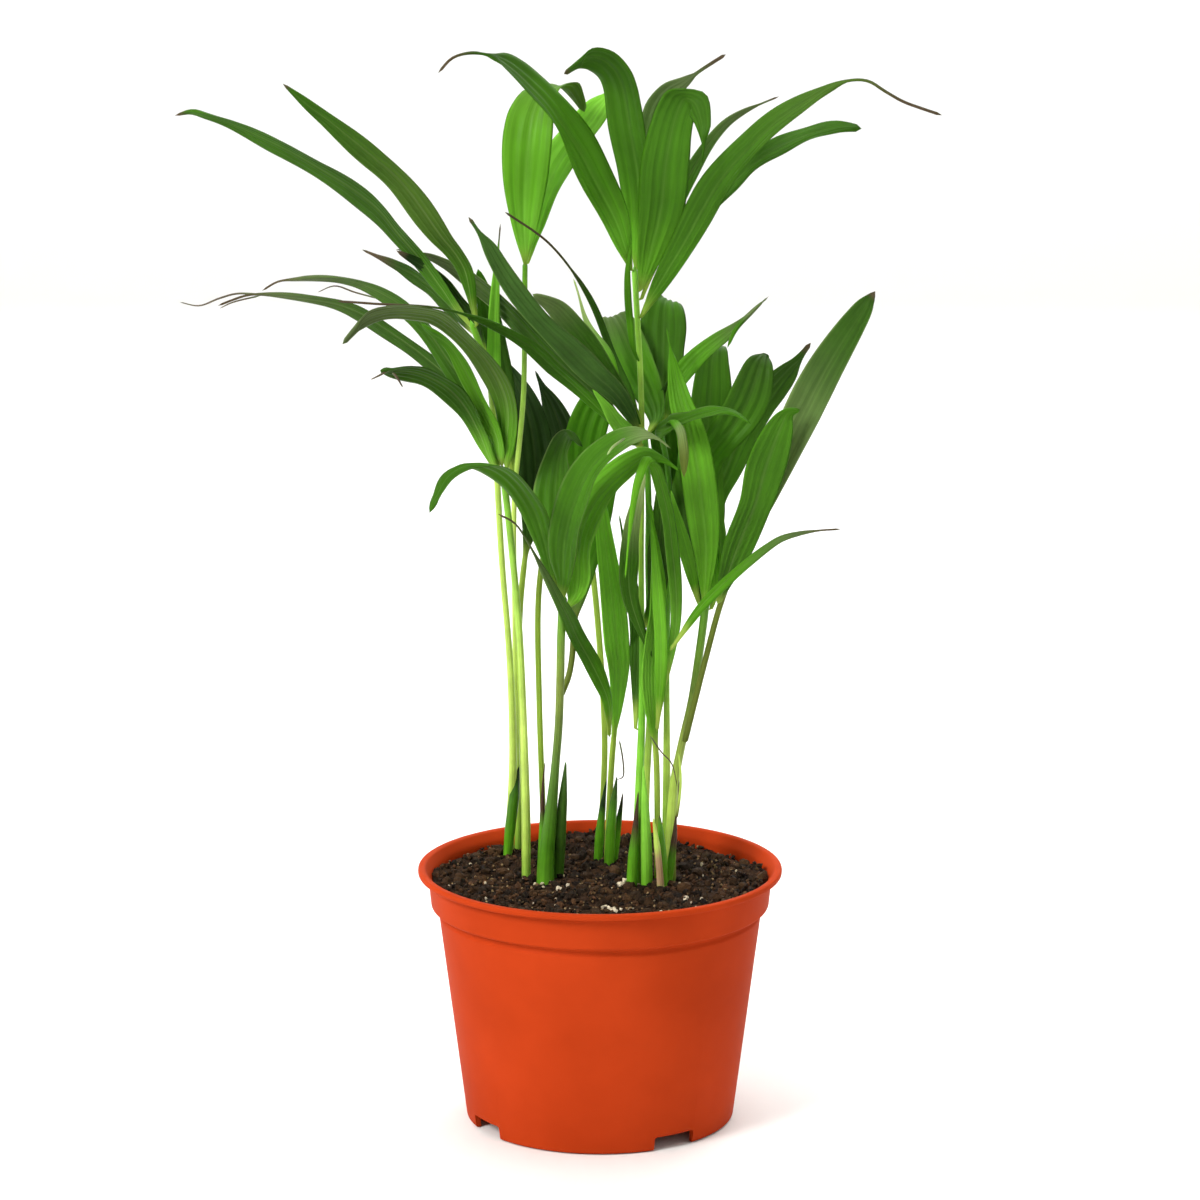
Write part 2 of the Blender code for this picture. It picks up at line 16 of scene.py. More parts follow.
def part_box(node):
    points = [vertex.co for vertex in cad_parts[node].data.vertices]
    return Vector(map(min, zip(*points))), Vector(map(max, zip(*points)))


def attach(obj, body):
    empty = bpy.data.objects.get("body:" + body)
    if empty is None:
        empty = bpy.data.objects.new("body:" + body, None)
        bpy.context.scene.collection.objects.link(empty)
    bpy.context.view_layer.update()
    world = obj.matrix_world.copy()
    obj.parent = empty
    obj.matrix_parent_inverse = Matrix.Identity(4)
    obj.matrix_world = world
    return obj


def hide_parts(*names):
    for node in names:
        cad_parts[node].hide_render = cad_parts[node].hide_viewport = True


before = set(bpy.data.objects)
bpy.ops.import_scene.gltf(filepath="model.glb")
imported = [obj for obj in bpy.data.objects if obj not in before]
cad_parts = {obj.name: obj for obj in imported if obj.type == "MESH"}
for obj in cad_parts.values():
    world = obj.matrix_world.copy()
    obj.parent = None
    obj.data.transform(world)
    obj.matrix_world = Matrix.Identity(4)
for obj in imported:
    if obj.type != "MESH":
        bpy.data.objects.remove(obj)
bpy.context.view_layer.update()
MM = 0.001
print("nodes in the frame:", len(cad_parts))

# %% [markdown]
# ## Camera
# The plant is seen from the front and a little above, through a long lens, so its
# stalks stay nearly parallel. A long lens far away was chosen over a near wide one.

# %% Camera
CAMERA_PLACE = (0.0, -1.6, 0.545)
CAMERA_TILT = math.radians(78.52)
bpy.ops.object.camera_add(location=CAMERA_PLACE, rotation=(CAMERA_TILT, 0.0, 0.0))
camera = bpy.context.object
camera.name = "camera"
camera.data.lens = 118.9
camera.data.sensor_width = 36.0
bpy.context.scene.camera = camera
print("camera lens in mm:", camera.data.lens)

# %% [markdown]
# ## Room
# A pale floor that curves up into a backdrop keeps the plant alone in the view. A sheet
# of paper swept up behind the subject does this in a studio. Here a plane is extruded
# back and up, and its bend is beveled.

# %% Floor and backdrop
ROOM_HALF = 2.7
WALL_RISE = 2.2
SWEEP = 0.5
FLOOR_GAP = 0.0004


def deselect():
    """Clears the selection, because an operator acts on all that is selected."""
    bpy.ops.object.select_all(action="DESELECT")


def only(item):
    """Selects one object and makes it the active one."""
    deselect()
    item.select_set(True)
    bpy.context.view_layer.objects.active = item


def select_back_edge(item):
    """Selects the floor's own back edge, in edit mode."""
    shape = bmesh.from_edit_mesh(item.data)
    for edge in shape.edges:
        edge.select = all(v.co.y > 0.99 * ROOM_HALF and v.co.z < 0.01 for v in edge.verts)
    bmesh.update_edit_mesh(item.data)


deselect()
bpy.ops.mesh.primitive_plane_add(size=2 * ROOM_HALF, location=(0.0, 0.0, -FLOOR_GAP))
floor = bpy.context.object
floor.name = "floor"
bpy.ops.object.mode_set(mode="EDIT")
select_back_edge(floor)
bpy.ops.mesh.extrude_region_move(TRANSFORM_OT_translate={"value": (0.0, 0.0, WALL_RISE)})
select_back_edge(floor)
bpy.ops.mesh.bevel(offset=SWEEP, segments=16)
bpy.ops.object.mode_set(mode="OBJECT")
bpy.ops.object.transform_apply(location=True)
bpy.ops.object.shade_smooth()
print("floor faces:", len(floor.data.polygons))

# %% Floor finish
paper = bpy.data.materials.new("pale_paper")
paper.use_nodes = True
sheet = paper.node_tree.nodes["Principled BSDF"]
sheet.inputs["Base Color"].default_value = (0.93, 0.93, 0.92, 1.0)
sheet.inputs["Roughness"].default_value = 0.8
floor.data.materials.append(paper)
print("floor finish:", paper.name)

# %% [markdown]
# ## Light
# The light is soft and comes mostly from the upper left and front, with a weak fill on
# the right and a rim from behind. Two more lamps keep the floor and the backdrop white.
# An area lamp gives soft shade, and a dim even sky keeps the shade pale. A sun lamp
# would have made the small leaves cast hard stripes.

# %% Lamps and sky


def soft_lamp(name, place, target, size, power, colour):
    """Adds a square area lamp at a place, turned to face a target."""
    bpy.ops.object.light_add(type="AREA", location=place)
    lamp = bpy.context.object
    lamp.name = name
    lamp.data.shape = "SQUARE"
    lamp.data.size = size
    lamp.data.energy = power
    lamp.data.color = colour
    turn = Vector(target) - Vector(place)
    lamp.rotation_euler = turn.to_track_quat("-Z", "Y").to_euler()


WHITE = (1.0, 1.0, 1.0)
soft_lamp("key", (-1.15, -1.05, 1.15), (0.0, 0.0, 0.2), 0.6, 30.5, (1.0, 0.99, 0.96))
soft_lamp("fill", (1.4, -1.2, 0.7), (0.0, 0.0, 0.2), 1.2, 0.5, WHITE)
soft_lamp("back", (0.5, 1.0, 1.4), (0.0, 0.0, 0.3), 0.8, 8.0, (1.0, 1.0, 0.98))
soft_lamp("table", (0.0, 0.2, 1.9), (0.0, 1.3, 0.5), 1.5, 10.0, WHITE)
soft_lamp("backdrop", (0.0, 1.4, 2.2), (0.0, 2.5, 0.2), 2.0, 32.0, WHITE)
sky = bpy.data.worlds.new("sky")
sky.use_nodes = True
even = sky.node_tree.nodes["Background"]
even.inputs["Color"].default_value = (*WHITE, 1.0)
even.inputs["Strength"].default_value = 0.16
bpy.context.scene.world = sky
bpy.context.scene.view_settings.view_transform = "Standard"

# %% [markdown]
# ## Reading the CAD stems back
# A stalk or a leaflet in the CAD is a tube of rings. Its new piece has to follow the
# same rings, so they are read back from a merged copy of the mesh. A walk up from the
# lowest corner ends at the tip, and a walk back from the tip meets every ring in turn.
# Typing the paths in again would work too, but they could then disagree with the CAD.

# %% Read the rings
WELD = 0.000002
BLADE_SIDES = 6
STALK_SIDES = 8


def walk_rings(ring):
    """Rings of corners met one edge further on each time, starting from one ring."""
    seen = set(ring)
    rings = []
    while ring:
        rings.append(ring)
        beyond = {e.other_vert(v) for v in ring for e in v.link_edges} - seen
        seen |= beyond
        ring = sorted(beyond, key=lambda v: v.index)
    return rings


def read_rings(node, sides):
    """Corner positions of each ring of a swept CAD node, from its base to its tip."""
    shape = bmesh.new()
    shape.from_mesh(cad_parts[node].data)
    bmesh.ops.remove_doubles(shape, verts=shape.verts, dist=WELD)
    shape.verts.index_update()
    lowest = min(shape.verts, key=lambda v: v.co.z)
    ring = sorted(shape.verts, key=lambda v: (v.co - lowest.co).length)[:sides]
    tip = walk_rings(ring)[-1]
    rings = [[tuple(v.co) for v in ring] for ring in reversed(walk_rings(tip))]
    shape.free()
    return rings


LEAF_NODES = sorted(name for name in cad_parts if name.startswith("leaf_"))
STALK_NODES = sorted(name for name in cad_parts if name.startswith("stalk_"))
print("leaflets in the frame:", len(LEAF_NODES), "stalks:", len(STALK_NODES))

# %% [markdown]
# ## Lines of a blade
# A leaflet is a long thin blade that is creased along its midrib. For the finer blade
# the rings are turned into four lines: the centre, the reach to the right edge, the lift
# of the midrib and the depth of the section. Lines are easy to resample more finely.

# %% Blade lines


def unit(vectors):
    """Vectors of length one, for one vector or for rows of them."""
    size = np.linalg.norm(vectors, axis=-1, keepdims=True)
    return vectors / np.maximum(size, 1e-9)


def resample(rows, count):
    """Rows of numbers at more stations, on a smooth curve through the given rows."""
    rows = np.array(rows, float)
    padded = np.concatenate([2 * rows[:1] - rows[1:2], rows, 2 * rows[-1:] - rows[-2:-1]])
    finer = []
    for place in np.linspace(0.0, len(rows) - 1.0, count):
        i = min(int(place), len(rows) - 2)
        t = place - i
        a, b, c, d = padded[i:i + 4]
        curve = 2 * a - 5 * b + 4 * c - d + t * (3 * b - a - 3 * c + d)
        finer.append(b + 0.5 * t * (c - a + t * curve))
    return np.array(finer)


def rows_for(line, spacing):
    """How many rows a line takes at a spacing."""
    return int(np.linalg.norm(np.diff(line, axis=0), axis=1).sum() / spacing)


def read_blade(node):
    """The centre, reach, lift and depth of a leaflet at each of its rings."""
    centres, reaches, lifts, depths = [], [], [], []
    for ring in read_rings(node, BLADE_SIDES):
        corners = np.array(ring)
        middle = corners.mean(axis=0)
        spread = np.linalg.svd(corners - middle)[2][0]
        if reaches and spread @ reaches[-1] < 0:
            spread = -spread
        order = np.argsort((corners - middle) @ spread)
        left = corners[order[:2]].mean(axis=0)
        right = corners[order[4:]].mean(axis=0)
        upper, lower = corners[order[2:4]]
        centres.append((left + right) / 2)
        reaches.append((right - left) / 2)
        lifts.append((upper + lower) / 2 - centres[-1])
        depths.append(np.linalg.norm(upper - lower) / 2)
    centres, reaches, lifts = np.array(centres), np.array(reaches), np.array(lifts)
    upward = np.cross(np.gradient(centres, axis=0), reaches)
    if (upward * lifts).sum() < 0:
        reaches = -reaches
    return centres, reaches, lifts, np.array(depths)


def read_stalk(node):
    """The centre line and the radius of a stalk at each of its rings."""
    rings = np.array(read_rings(node, STALK_SIDES))
    centres = rings.mean(axis=1)
    return centres, np.linalg.norm(rings - centres[:, None], axis=2).mean(axis=1)


blades = {name: read_blade(name) for name in LEAF_NODES}
stalks = {name: read_stalk(name) for name in STALK_NODES}
widest = max(np.linalg.norm(b[1], axis=1).max() for b in blades.values()) * 2 / MM
print("blades:", len(blades), "stalks:", len(stalks), "widest blade in mm:", round(widest, 1))

# %% [markdown]
# ## Wrapped grids
# Stalks, blades and sheaths are all long skins closed round a line. A grid has its own
# UV map, so one is added with its columns across and its rows along, then its corners
# are moved into place, its two long borders meet and are merged, and both ends close.
# A tube from a curve with a bevel is quicker, but it has one section all the way.

# %% Wrapped grid


def wrap_grid(name, around, along, place, finish):
    """A closed skin. place(turn, row) gives the corners' points and their tints."""
    deselect()
    bpy.ops.mesh.primitive_grid_add(x_subdivisions=around, y_subdivisions=along, size=1.0)
    item = bpy.context.object
    item.name = item.data.name = name
    corners = np.empty(3 * len(item.data.vertices))
    item.data.vertices.foreach_get("co", corners)
    corners = corners.reshape(-1, 3)
    turn = corners[:, 0] + 0.5
    row = np.rint((corners[:, 1] + 0.5) * along).astype(int)
    points, tints = place(turn, row)
    item.data.vertices.foreach_set("co", points.astype(float).ravel())
    layer = item.data.attributes.new("tint", "FLOAT_COLOR", "POINT")
    layer.data.foreach_set("color", np.column_stack([tints, np.ones(len(tints))]).ravel())
    bpy.ops.object.mode_set(mode="EDIT")
    bpy.ops.mesh.select_all(action="SELECT")
    bpy.ops.mesh.remove_doubles(threshold=WELD)
    bpy.ops.mesh.normals_make_consistent(inside=False)
    bpy.ops.object.mode_set(mode="OBJECT")
    bpy.ops.object.shade_smooth()
    item.data.materials.append(finish)
    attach(item, "root")
    return item


def ease(low, high, value):
    """Rises smoothly from 0 at low to 1 at high."""
    t = np.clip((value - low) / (high - low), 0.0, 1.0)
    return t * t * (3 - 2 * t)


def mix(first, second, share):
    """Colours between two colours, one for each share."""
    share = np.asarray(share)[..., None]
    return np.asarray(first) * (1 - share) + np.asarray(second) * share


print("helpers ready")

# %% [markdown]
# ## Leaf finish
# A palm leaflet is satin on top, with fine parallel veins, and lets some light through.
# Its colours change from leaflet to leaflet and along each one, so they are painted into
# the mesh as an attribute called tint. Some tints are painted light: lighter greens on
# leaflets in shade, grey-greens for sheen, and pleats lighter on their ridges. The shader
# adds the veins and the mottling over it. Veins follow the blade, so they come from the
# UV map, stretched hard along it.

# %% Shader helpers


def add_node(tree, kind, **settings):
    """Adds a shader node and sets its properties and unlinked inputs by name."""
    node = tree.nodes.new(kind)
    for key, value in settings.items():
        if hasattr(node, key):
            setattr(node, key, value)
        else:
            node.inputs[key.replace("_", " ")].default_value = value
    return node


def new_finish(name, roughness, specular):
    """A new material, with its node tree and its Principled shader."""
    finish = bpy.data.materials.new(name)
    finish.use_nodes = True
    shader = finish.node_tree.nodes["Principled BSDF"]
    shader.inputs["Roughness"].default_value = roughness
    shader.inputs["Specular IOR Level"].default_value = specular
    return finish, finish.node_tree, shader


def painted(tree):
    """The colour that is painted into the mesh."""
    return add_node(tree, "ShaderNodeAttribute", attribute_name="tint").outputs["Color"]


def blend(tree, first, second, share, shader):
    """Mixes two colours by a share and makes that the shader's colour."""
    ramp = add_node(tree, "ShaderNodeMix", data_type="RGBA")
    ramp.inputs["A"].default_value = (*first, 1.0)
    ramp.inputs["B"].default_value = (*second, 1.0)
    tree.links.new(share, ramp.inputs["Factor"])
    tree.links.new(ramp.outputs["Result"], shader.inputs["Base Color"])


def streaks(tree, across, along, detail=3.0):
    """Noise drawn out along the blade: across and along are its counts per UV unit."""
    places = add_node(tree, "ShaderNodeUVMap")
    stretch = add_node(tree, "ShaderNodeMapping")
    stretch.inputs["Scale"].default_value = (across, along, 1.0)
    grain = add_node(tree, "ShaderNodeTexNoise", Scale=1.0, Detail=detail)
    tree.links.new(places.outputs["UV"], stretch.inputs["Vector"])
    tree.links.new(stretch.outputs["Vector"], grain.inputs["Vector"])
    return grain


def spots(tree, scale, detail=3.0):
    """Noise in the object's own space, in counts per metre."""
    place = add_node(tree, "ShaderNodeTexCoord")
    grain = add_node(tree, "ShaderNodeTexNoise", Scale=scale, Detail=detail)
    tree.links.new(place.outputs["Object"], grain.inputs["Vector"])
    return grain


def spread(tree, source, low, high, darkest, lightest):
    """Maps a texture's value from low..high to darkest..lightest."""
    remap = add_node(tree, "ShaderNodeMapRange")
    remap.inputs["From Min"].default_value = low
    remap.inputs["From Max"].default_value = high
    remap.inputs["To Min"].default_value = darkest
    remap.inputs["To Max"].default_value = lightest
    tree.links.new(source.outputs["Fac"], remap.inputs["Value"])
    return remap.outputs["Result"]


def times(tree, first, second):
    """Multiplies two values."""
    product = add_node(tree, "ShaderNodeMath", operation="MULTIPLY")
    tree.links.new(first, product.inputs[0])
    tree.links.new(second, product.inputs[1])
    return product.outputs["Value"]


def shaded(tree, colour, value):
    """Multiplies a colour by a value."""
    product = add_node(tree, "ShaderNodeVectorMath", operation="SCALE")
    tree.links.new(colour, product.inputs[0])
    tree.links.new(value, product.inputs["Scale"])
    return product.outputs["Vector"]


def raised(tree, height, shader, distance, strength):
    """Turns a height into a bump on a shader."""
    bump = add_node(tree, "ShaderNodeBump", Strength=strength, Distance=distance)
    tree.links.new(height, bump.inputs["Height"])
    tree.links.new(bump.outputs["Normal"], shader.inputs["Normal"])
    return bump.outputs["Normal"]


print("shader helpers ready")

# %% Leaf finish
VEINS_ACROSS = 120.0


def leaf_finish(name, roughness, through):
    """Satin leaf with veins. through is the share of light that passes."""
    finish, tree, shader = new_finish(name, roughness, 0.06)
    fine = streaks(tree, VEINS_ACROSS, 2.0)
    veins = spread(tree, fine, 0.35, 0.65, 0.93, 1.07)
    bands = spread(tree, streaks(tree, 18.0, 1.2, 2.0), 0.3, 0.7, 0.80, 1.20)
    mottle = spread(tree, spots(tree, 45.0), 0.3, 0.7, 0.88, 1.12)
    level = times(tree, times(tree, veins, bands), mottle)
    colour = shaded(tree, painted(tree), level)
    tree.links.new(colour, shader.inputs["Base Color"])
    gloss = spread(tree, spots(tree, 30.0), 0.3, 0.7, roughness - 0.07, roughness + 0.1)
    tree.links.new(gloss, shader.inputs["Roughness"])
    normal = raised(tree, fine.outputs["Fac"], shader, 0.00012, 0.5)
    glow = add_node(tree, "ShaderNodeBsdfTranslucent")
    warm = add_node(tree, "ShaderNodeVectorMath", operation="MULTIPLY")
    warm.inputs[1].default_value = (1.6, 1.45, 0.4)
    tree.links.new(colour, warm.inputs[0])
    tree.links.new(warm.outputs["Vector"], glow.inputs["Color"])
    tree.links.new(normal, glow.inputs["Normal"])
    both = add_node(tree, "ShaderNodeMixShader")
    both.inputs["Fac"].default_value = through
    tree.links.new(shader.outputs["BSDF"], both.inputs[1])
    tree.links.new(glow.outputs["BSDF"], both.inputs[2])
    tree.links.new(both.outputs["Shader"], tree.nodes["Material Output"].inputs["Surface"])
    return finish


leaf_skin = leaf_finish("leaf_skin", 0.4, 0.25)
print("leaf finish:", leaf_skin.name)

# %% [markdown]
# ## Blades
# Each blade keeps the CAD's centre line, width and crease. It gains pleats beside the
# midrib, edges that wave a little, a thin section with a thicker midrib, and a foot that
# runs into its stalk. Sculpting every leaflet by hand would look as good, but a rule
# with a few settings for each leaflet is easier to keep even.

# %% Leaf colours
DEEP = (0.010, 0.034, 0.004)
SHADE = (0.022, 0.065, 0.006)
DARK = (0.035, 0.103, 0.008)
LEAF = (0.047, 0.150, 0.008)
MID = (0.062, 0.205, 0.008)
FRESH = (0.092, 0.300, 0.011)
BRIGHT = (0.135, 0.400, 0.018)
VIVID = (0.185, 0.520, 0.030)
LIGHT = (0.23, 0.58, 0.05)
OLIVE = (0.090, 0.185, 0.024)
GREYISH = (0.115, 0.165, 0.060)
# The next colour is leaf green greyed by painted sheen.
SHEENED_LEAF = (0.060, 0.148, 0.026)
# The next colour is a pale grey-green, used as a painted highlight on front_3's tip.
GREY_GREEN_AND_SHEEN = (0.180, 0.265, 0.090)
# The next colour is a painted sheen: a pale grey-green for a shaded leaflet's middle.
PAINTED_SHEEN = (0.260, 0.370, 0.135)
STEM = (0.40, 0.58, 0.09)
BARKY = (0.18, 0.24, 0.04)
PALE = (0.42, 0.56, 0.21)
DRY = (0.085, 0.062, 0.036)

# %% Looks of single leaflets


def look(base, blade, tip, **more):
    """Settings of one leaflet: its colours from foot to tip, then what differs."""
    return dict(base=base, blade=blade, tip=tip, **more)


BLUNT = {"leaf_centre_6", "leaf_inner_right_1", "leaf_right_2", "leaf_right_4",
         "leaf_right_5", "leaf_far_right_2", "leaf_front_2"}
# Leaflets that lie in shade, such as top_left_2, right_3, right_5 and inner_right_1, get lighter
# tones than their own: painted light.
LOOKS = {
    "upper_left_1": look(MID, DARK, LEAF, rib=0.4, pleats=3, depth=0.1, dry=0.04),
    "upper_left_2": look(MID, OLIVE, LEAF, rib=0.4, pleats=3, depth=0.1, dry=0.03),
    "upper_left_3": look(DARK, DARK, SHADE, rib=0.25, dry=0.3, tail=0.5),
    "left_1": look(BRIGHT, OLIVE, GREYISH, rib=0.5, pleats=3, depth=0.1,
                   moves=[(0.86, 0, 0, 2.4)]),
    "left_2": look(BRIGHT, LEAF, GREYISH, rib=0.4, pleats=3, depth=0.1, dry=0.15, tail=0.55),
    "left_3": look(DARK, DARK, GREYISH, rib=0.4, depth=0.1, dry=0.2, tail=0.6),
    "left_4": look(LIGHT, LEAF, DARK, rib=0.5, pleats=3, depth=0.1,
                   moves=[(0.62, 0, -0.6, 0.8), (0.9, 0, -0.3, 1.4)]),
    "spear": look(FRESH, LIGHT, LIGHT, dry=0.12),
    # centre_1 is coloured with a painted sheen all along.
    "centre_1": look(SHEENED_LEAF, SHEENED_LEAF, SHEENED_LEAF, edge=0.2, dry=0.03,
                     moves=[(0.3, -0.4, -0.4, -1.0), (0.58, -0.6, -0.8, -2.0),
                            (0.92, 1.8, 2.2, 0.6)]),
    "centre_2": look(LEAF, DARK, GREYISH, rib=0.2, edge=0.4, moves=[(0.45, -0.8, -1.4, -1.4)]),
    "centre_3": look(FRESH, LEAF, DARK, rib=0.2, dry=0.35, tail=0.5),
    "centre_4": look(MID, BRIGHT, PALE, moves=[(0.35, -2.0, 0, -1.5), (0.75, -1.4, 0, -0.8)]),
    "centre_5": look(MID, LIGHT, LIGHT),
    "centre_6": look(MID, FRESH, GREYISH, rib=0.15, edge=0.2),
    "centre_7": look(LEAF, DARK, SHADE, rib=0.0, dry=0.5, tail=0.5, moves=[(0.35, 0, 0, -0.7)]),
    "centre_8": look(MID, LEAF, FRESH, rib=0.15),
    "back_1": look(DARK, DEEP, DEEP, rib=0.15),
    "back_2": look(DARK, DEEP, DEEP, rib=0.15),
    "top_left_1": look(LIGHT, BRIGHT, OLIVE, rib=0.15, depth=0.04, moves=[(0.93, 0.6, 0.5, 1.0)]),
    "top_left_2": look(LIGHT, LIGHT, LIGHT, rib=0.15, depth=0.05, moves=[(0.85, 0.6, 0.2, 1.2)]),
    "top_1": look(VIVID, FRESH, DARK, rib=0.2, depth=0.04, dry=0.14, tail=0.6,
                  moves=[(0.2, -0.3, 0.3, -0.5), (0.73, 0, 0.7, 1.7)]),
    "top_2": look(VIVID, MID, LEAF, rib=0.15, depth=0.04, dry=0.03,
                  moves=[(0.72, 1.8, -1.2, 0.2), (0.95, 0.9, -1.0, 0.8)]),
    "top_3": look(BRIGHT, MID, LEAF, rib=0.12, pleats=3, depth=0.05),
    "top_4": look(MID, DARK, GREYISH, dry=0.14, tail=0.8),
    "top_5": look(FRESH, MID, GREYISH, rib=0.3, dry=0.06, tail=0.4, moves=[(0.6, 0.9, -1.0, 0)]),
    "top_6": look(MID, LEAF, OLIVE, rib=0.12, dry=0.25, tail=0.65, moves=[(0.7, 0.2, 0.5, 0.4)]),
    "top_7": look(LEAF, LEAF, LEAF, rib=0.12, moves=[(0.97, 0, 0, 1.2)]),
    "inner_right_1": look(LIGHT, LEAF, MID, moves=[(0.3, 0, 0, 1.6), (0.6, 0, 0, 2.4)]),
    "inner_right_2": look(LEAF, LEAF, MID, edge=0.2),
    "inner_right_3": look(LEAF, FRESH, GREYISH, dry=0.03),
    "right_1": look(BRIGHT, VIVID, FRESH, rib=0.2, pleats=3, depth=0.1),
    "right_2": look(LEAF, DARK, LIGHT),
    "right_3": look(BRIGHT, LIGHT, LIGHT),
    "right_4": look(LEAF, MID, LEAF, depth=0.04, moves=[(0.44, -2.5, 0, -1.2)]),
    "right_5": look(LIGHT, FRESH, DARK, rib=0.15, depth=0.06,
                    moves=[(0.3, -7.0, 0, -2.0), (0.5, -12.0, 0, -3.0), (0.85, 1.0, 0, 1.4)]),
    "right_6": look(MID, MID, DARK, rib=0.15, dry=0.06,
                    moves=[(0.35, -8.0, 0, -2.0), (0.55, -6.0, 0, -1.0), (0.86, 0, 0.4, 1.8)]),
    # far_right_1's pale middle is a painted sheen on a leaflet in shade.
    "far_right_1": look(MID, PAINTED_SHEEN, DARK, rib=0.12, edge=0.3, stem=BARKY, turn=0.35, dry=0.02),
    "far_right_2": look(LEAF, MID, MID, rib=0.3, pleats=3, depth=0.08,
                        moves=[(0.48, 1.2, 0, -1.7)]),
    "low_right": look(FRESH, FRESH, GREYISH, rib=0.3, dry=0.16, tail=0.4),
    "front_1": look(MID, MID, LEAF, edge=0.15, depth=0.05, moves=[(0.8, 0.7, -1.2, 0.8)]),
    "front_2": look(MID, MID, DARK, edge=0.4),
    # front_3's grey-green tip is a painted highlight.
    "front_3": look(MID, MID, GREY_GREEN_AND_SHEEN, turn=0.75, edge=0.25),
    "front_4": look(VIVID, VIVID, FRESH, rib=0.2, edge=0.2, pleats=3),
    "front_5": look(OLIVE, FRESH, FRESH, rib=0.15, stem=BARKY),
    "inner_1": look(BRIGHT, LIGHT, BRIGHT, rib=0.3, pleats=3, depth=0.1),
    "inner_2": look(LEAF, LEAF, MID),
    "inner_3": look(BRIGHT, VIVID, FRESH, rib=0.2),
    "inner_4": look(LIGHT, MID, BRIGHT, rib=0.3, edge=0.4),
    "low_1": look(LIGHT, LIGHT, VIVID, rib=0.25, pleats=3, depth=0.08,
                  moves=[(0.75, -0.2, 0, 0.8), (1.0, -0.8, 11.0, 1.4)]),
    "low_2": look(BRIGHT, MID, GREYISH, rib=0.4, dry=0.1, tail=0.4),
}
print("leaflets with looks of their own:", len(LOOKS))

# %% Blade maker
BLADE_COLUMNS = 18
ROW_SPACING = 2.0 * MM
NARROW, BROAD = 1.6 * MM, 4.0 * MM
SKIN = 0.15 * MM
CORE_TRIM = 0.3 * MM
MIDRIB = 0.22 * MM
WAVE = 0.5 * MM
SWAY = 0.8 * MM


def nearest_stalk(point):
    """The nearest point on any stalk's centre line, and how far away it is."""
    best = (None, 1.0)
    for centres, _ in stalks.values():
        finer = resample(centres, 12 * len(centres))
        far = np.linalg.norm(finer - point, axis=1)
        if far.min() < best[1]:
            best = (finer[far.argmin()], far.min())
    return best


def blade_lines(node):
    """A CAD blade's lines, resampled, with its foot carried on into its stalk."""
    centres, reaches, lifts, depths = blades[node]
    widths = np.linalg.norm(reaches, axis=1)
    if node in BLUNT:
        reaches = unit(reaches) * (widths ** 2)[:, None]
    rows = rows_for(centres, ROW_SPACING)
    lines = [resample(line, rows) for line in (centres, reaches, lifts, depths)]
    if node in BLUNT:
        lines[1] = unit(lines[1]) * np.sqrt(np.linalg.norm(lines[1], axis=1))[:, None]
    foot, gap = nearest_stalk(centres[0])
    if gap < 5 * MM and centres[0][2] > 0.12:
        start = foot - np.array((0.0, 0.0, 1.5 * MM))
        lines = [np.concatenate([line[:1], line]) for line in lines]
        lines[0][0] = start
    return lines


def moved(lines, moves, tail):
    """Lines with soft bumps: each move is a share, a shift in x and z and a widening."""
    centre, reach, lift, thick = lines
    share = np.linspace(0.0, 1.0, len(centre))
    half = np.linalg.norm(reach, axis=1)
    for at, across, up, wider in moves:
        bump = np.exp(-((share - at) / 0.14) ** 2) * MM
        centre = centre + bump[:, None] * np.array((across, 0.0, up))
        half = half + bump * wider
    half = np.maximum(half, tail * MM * ease(0.3, 0.6, share))
    return centre, unit(reach) * half[:, None], lift, thick


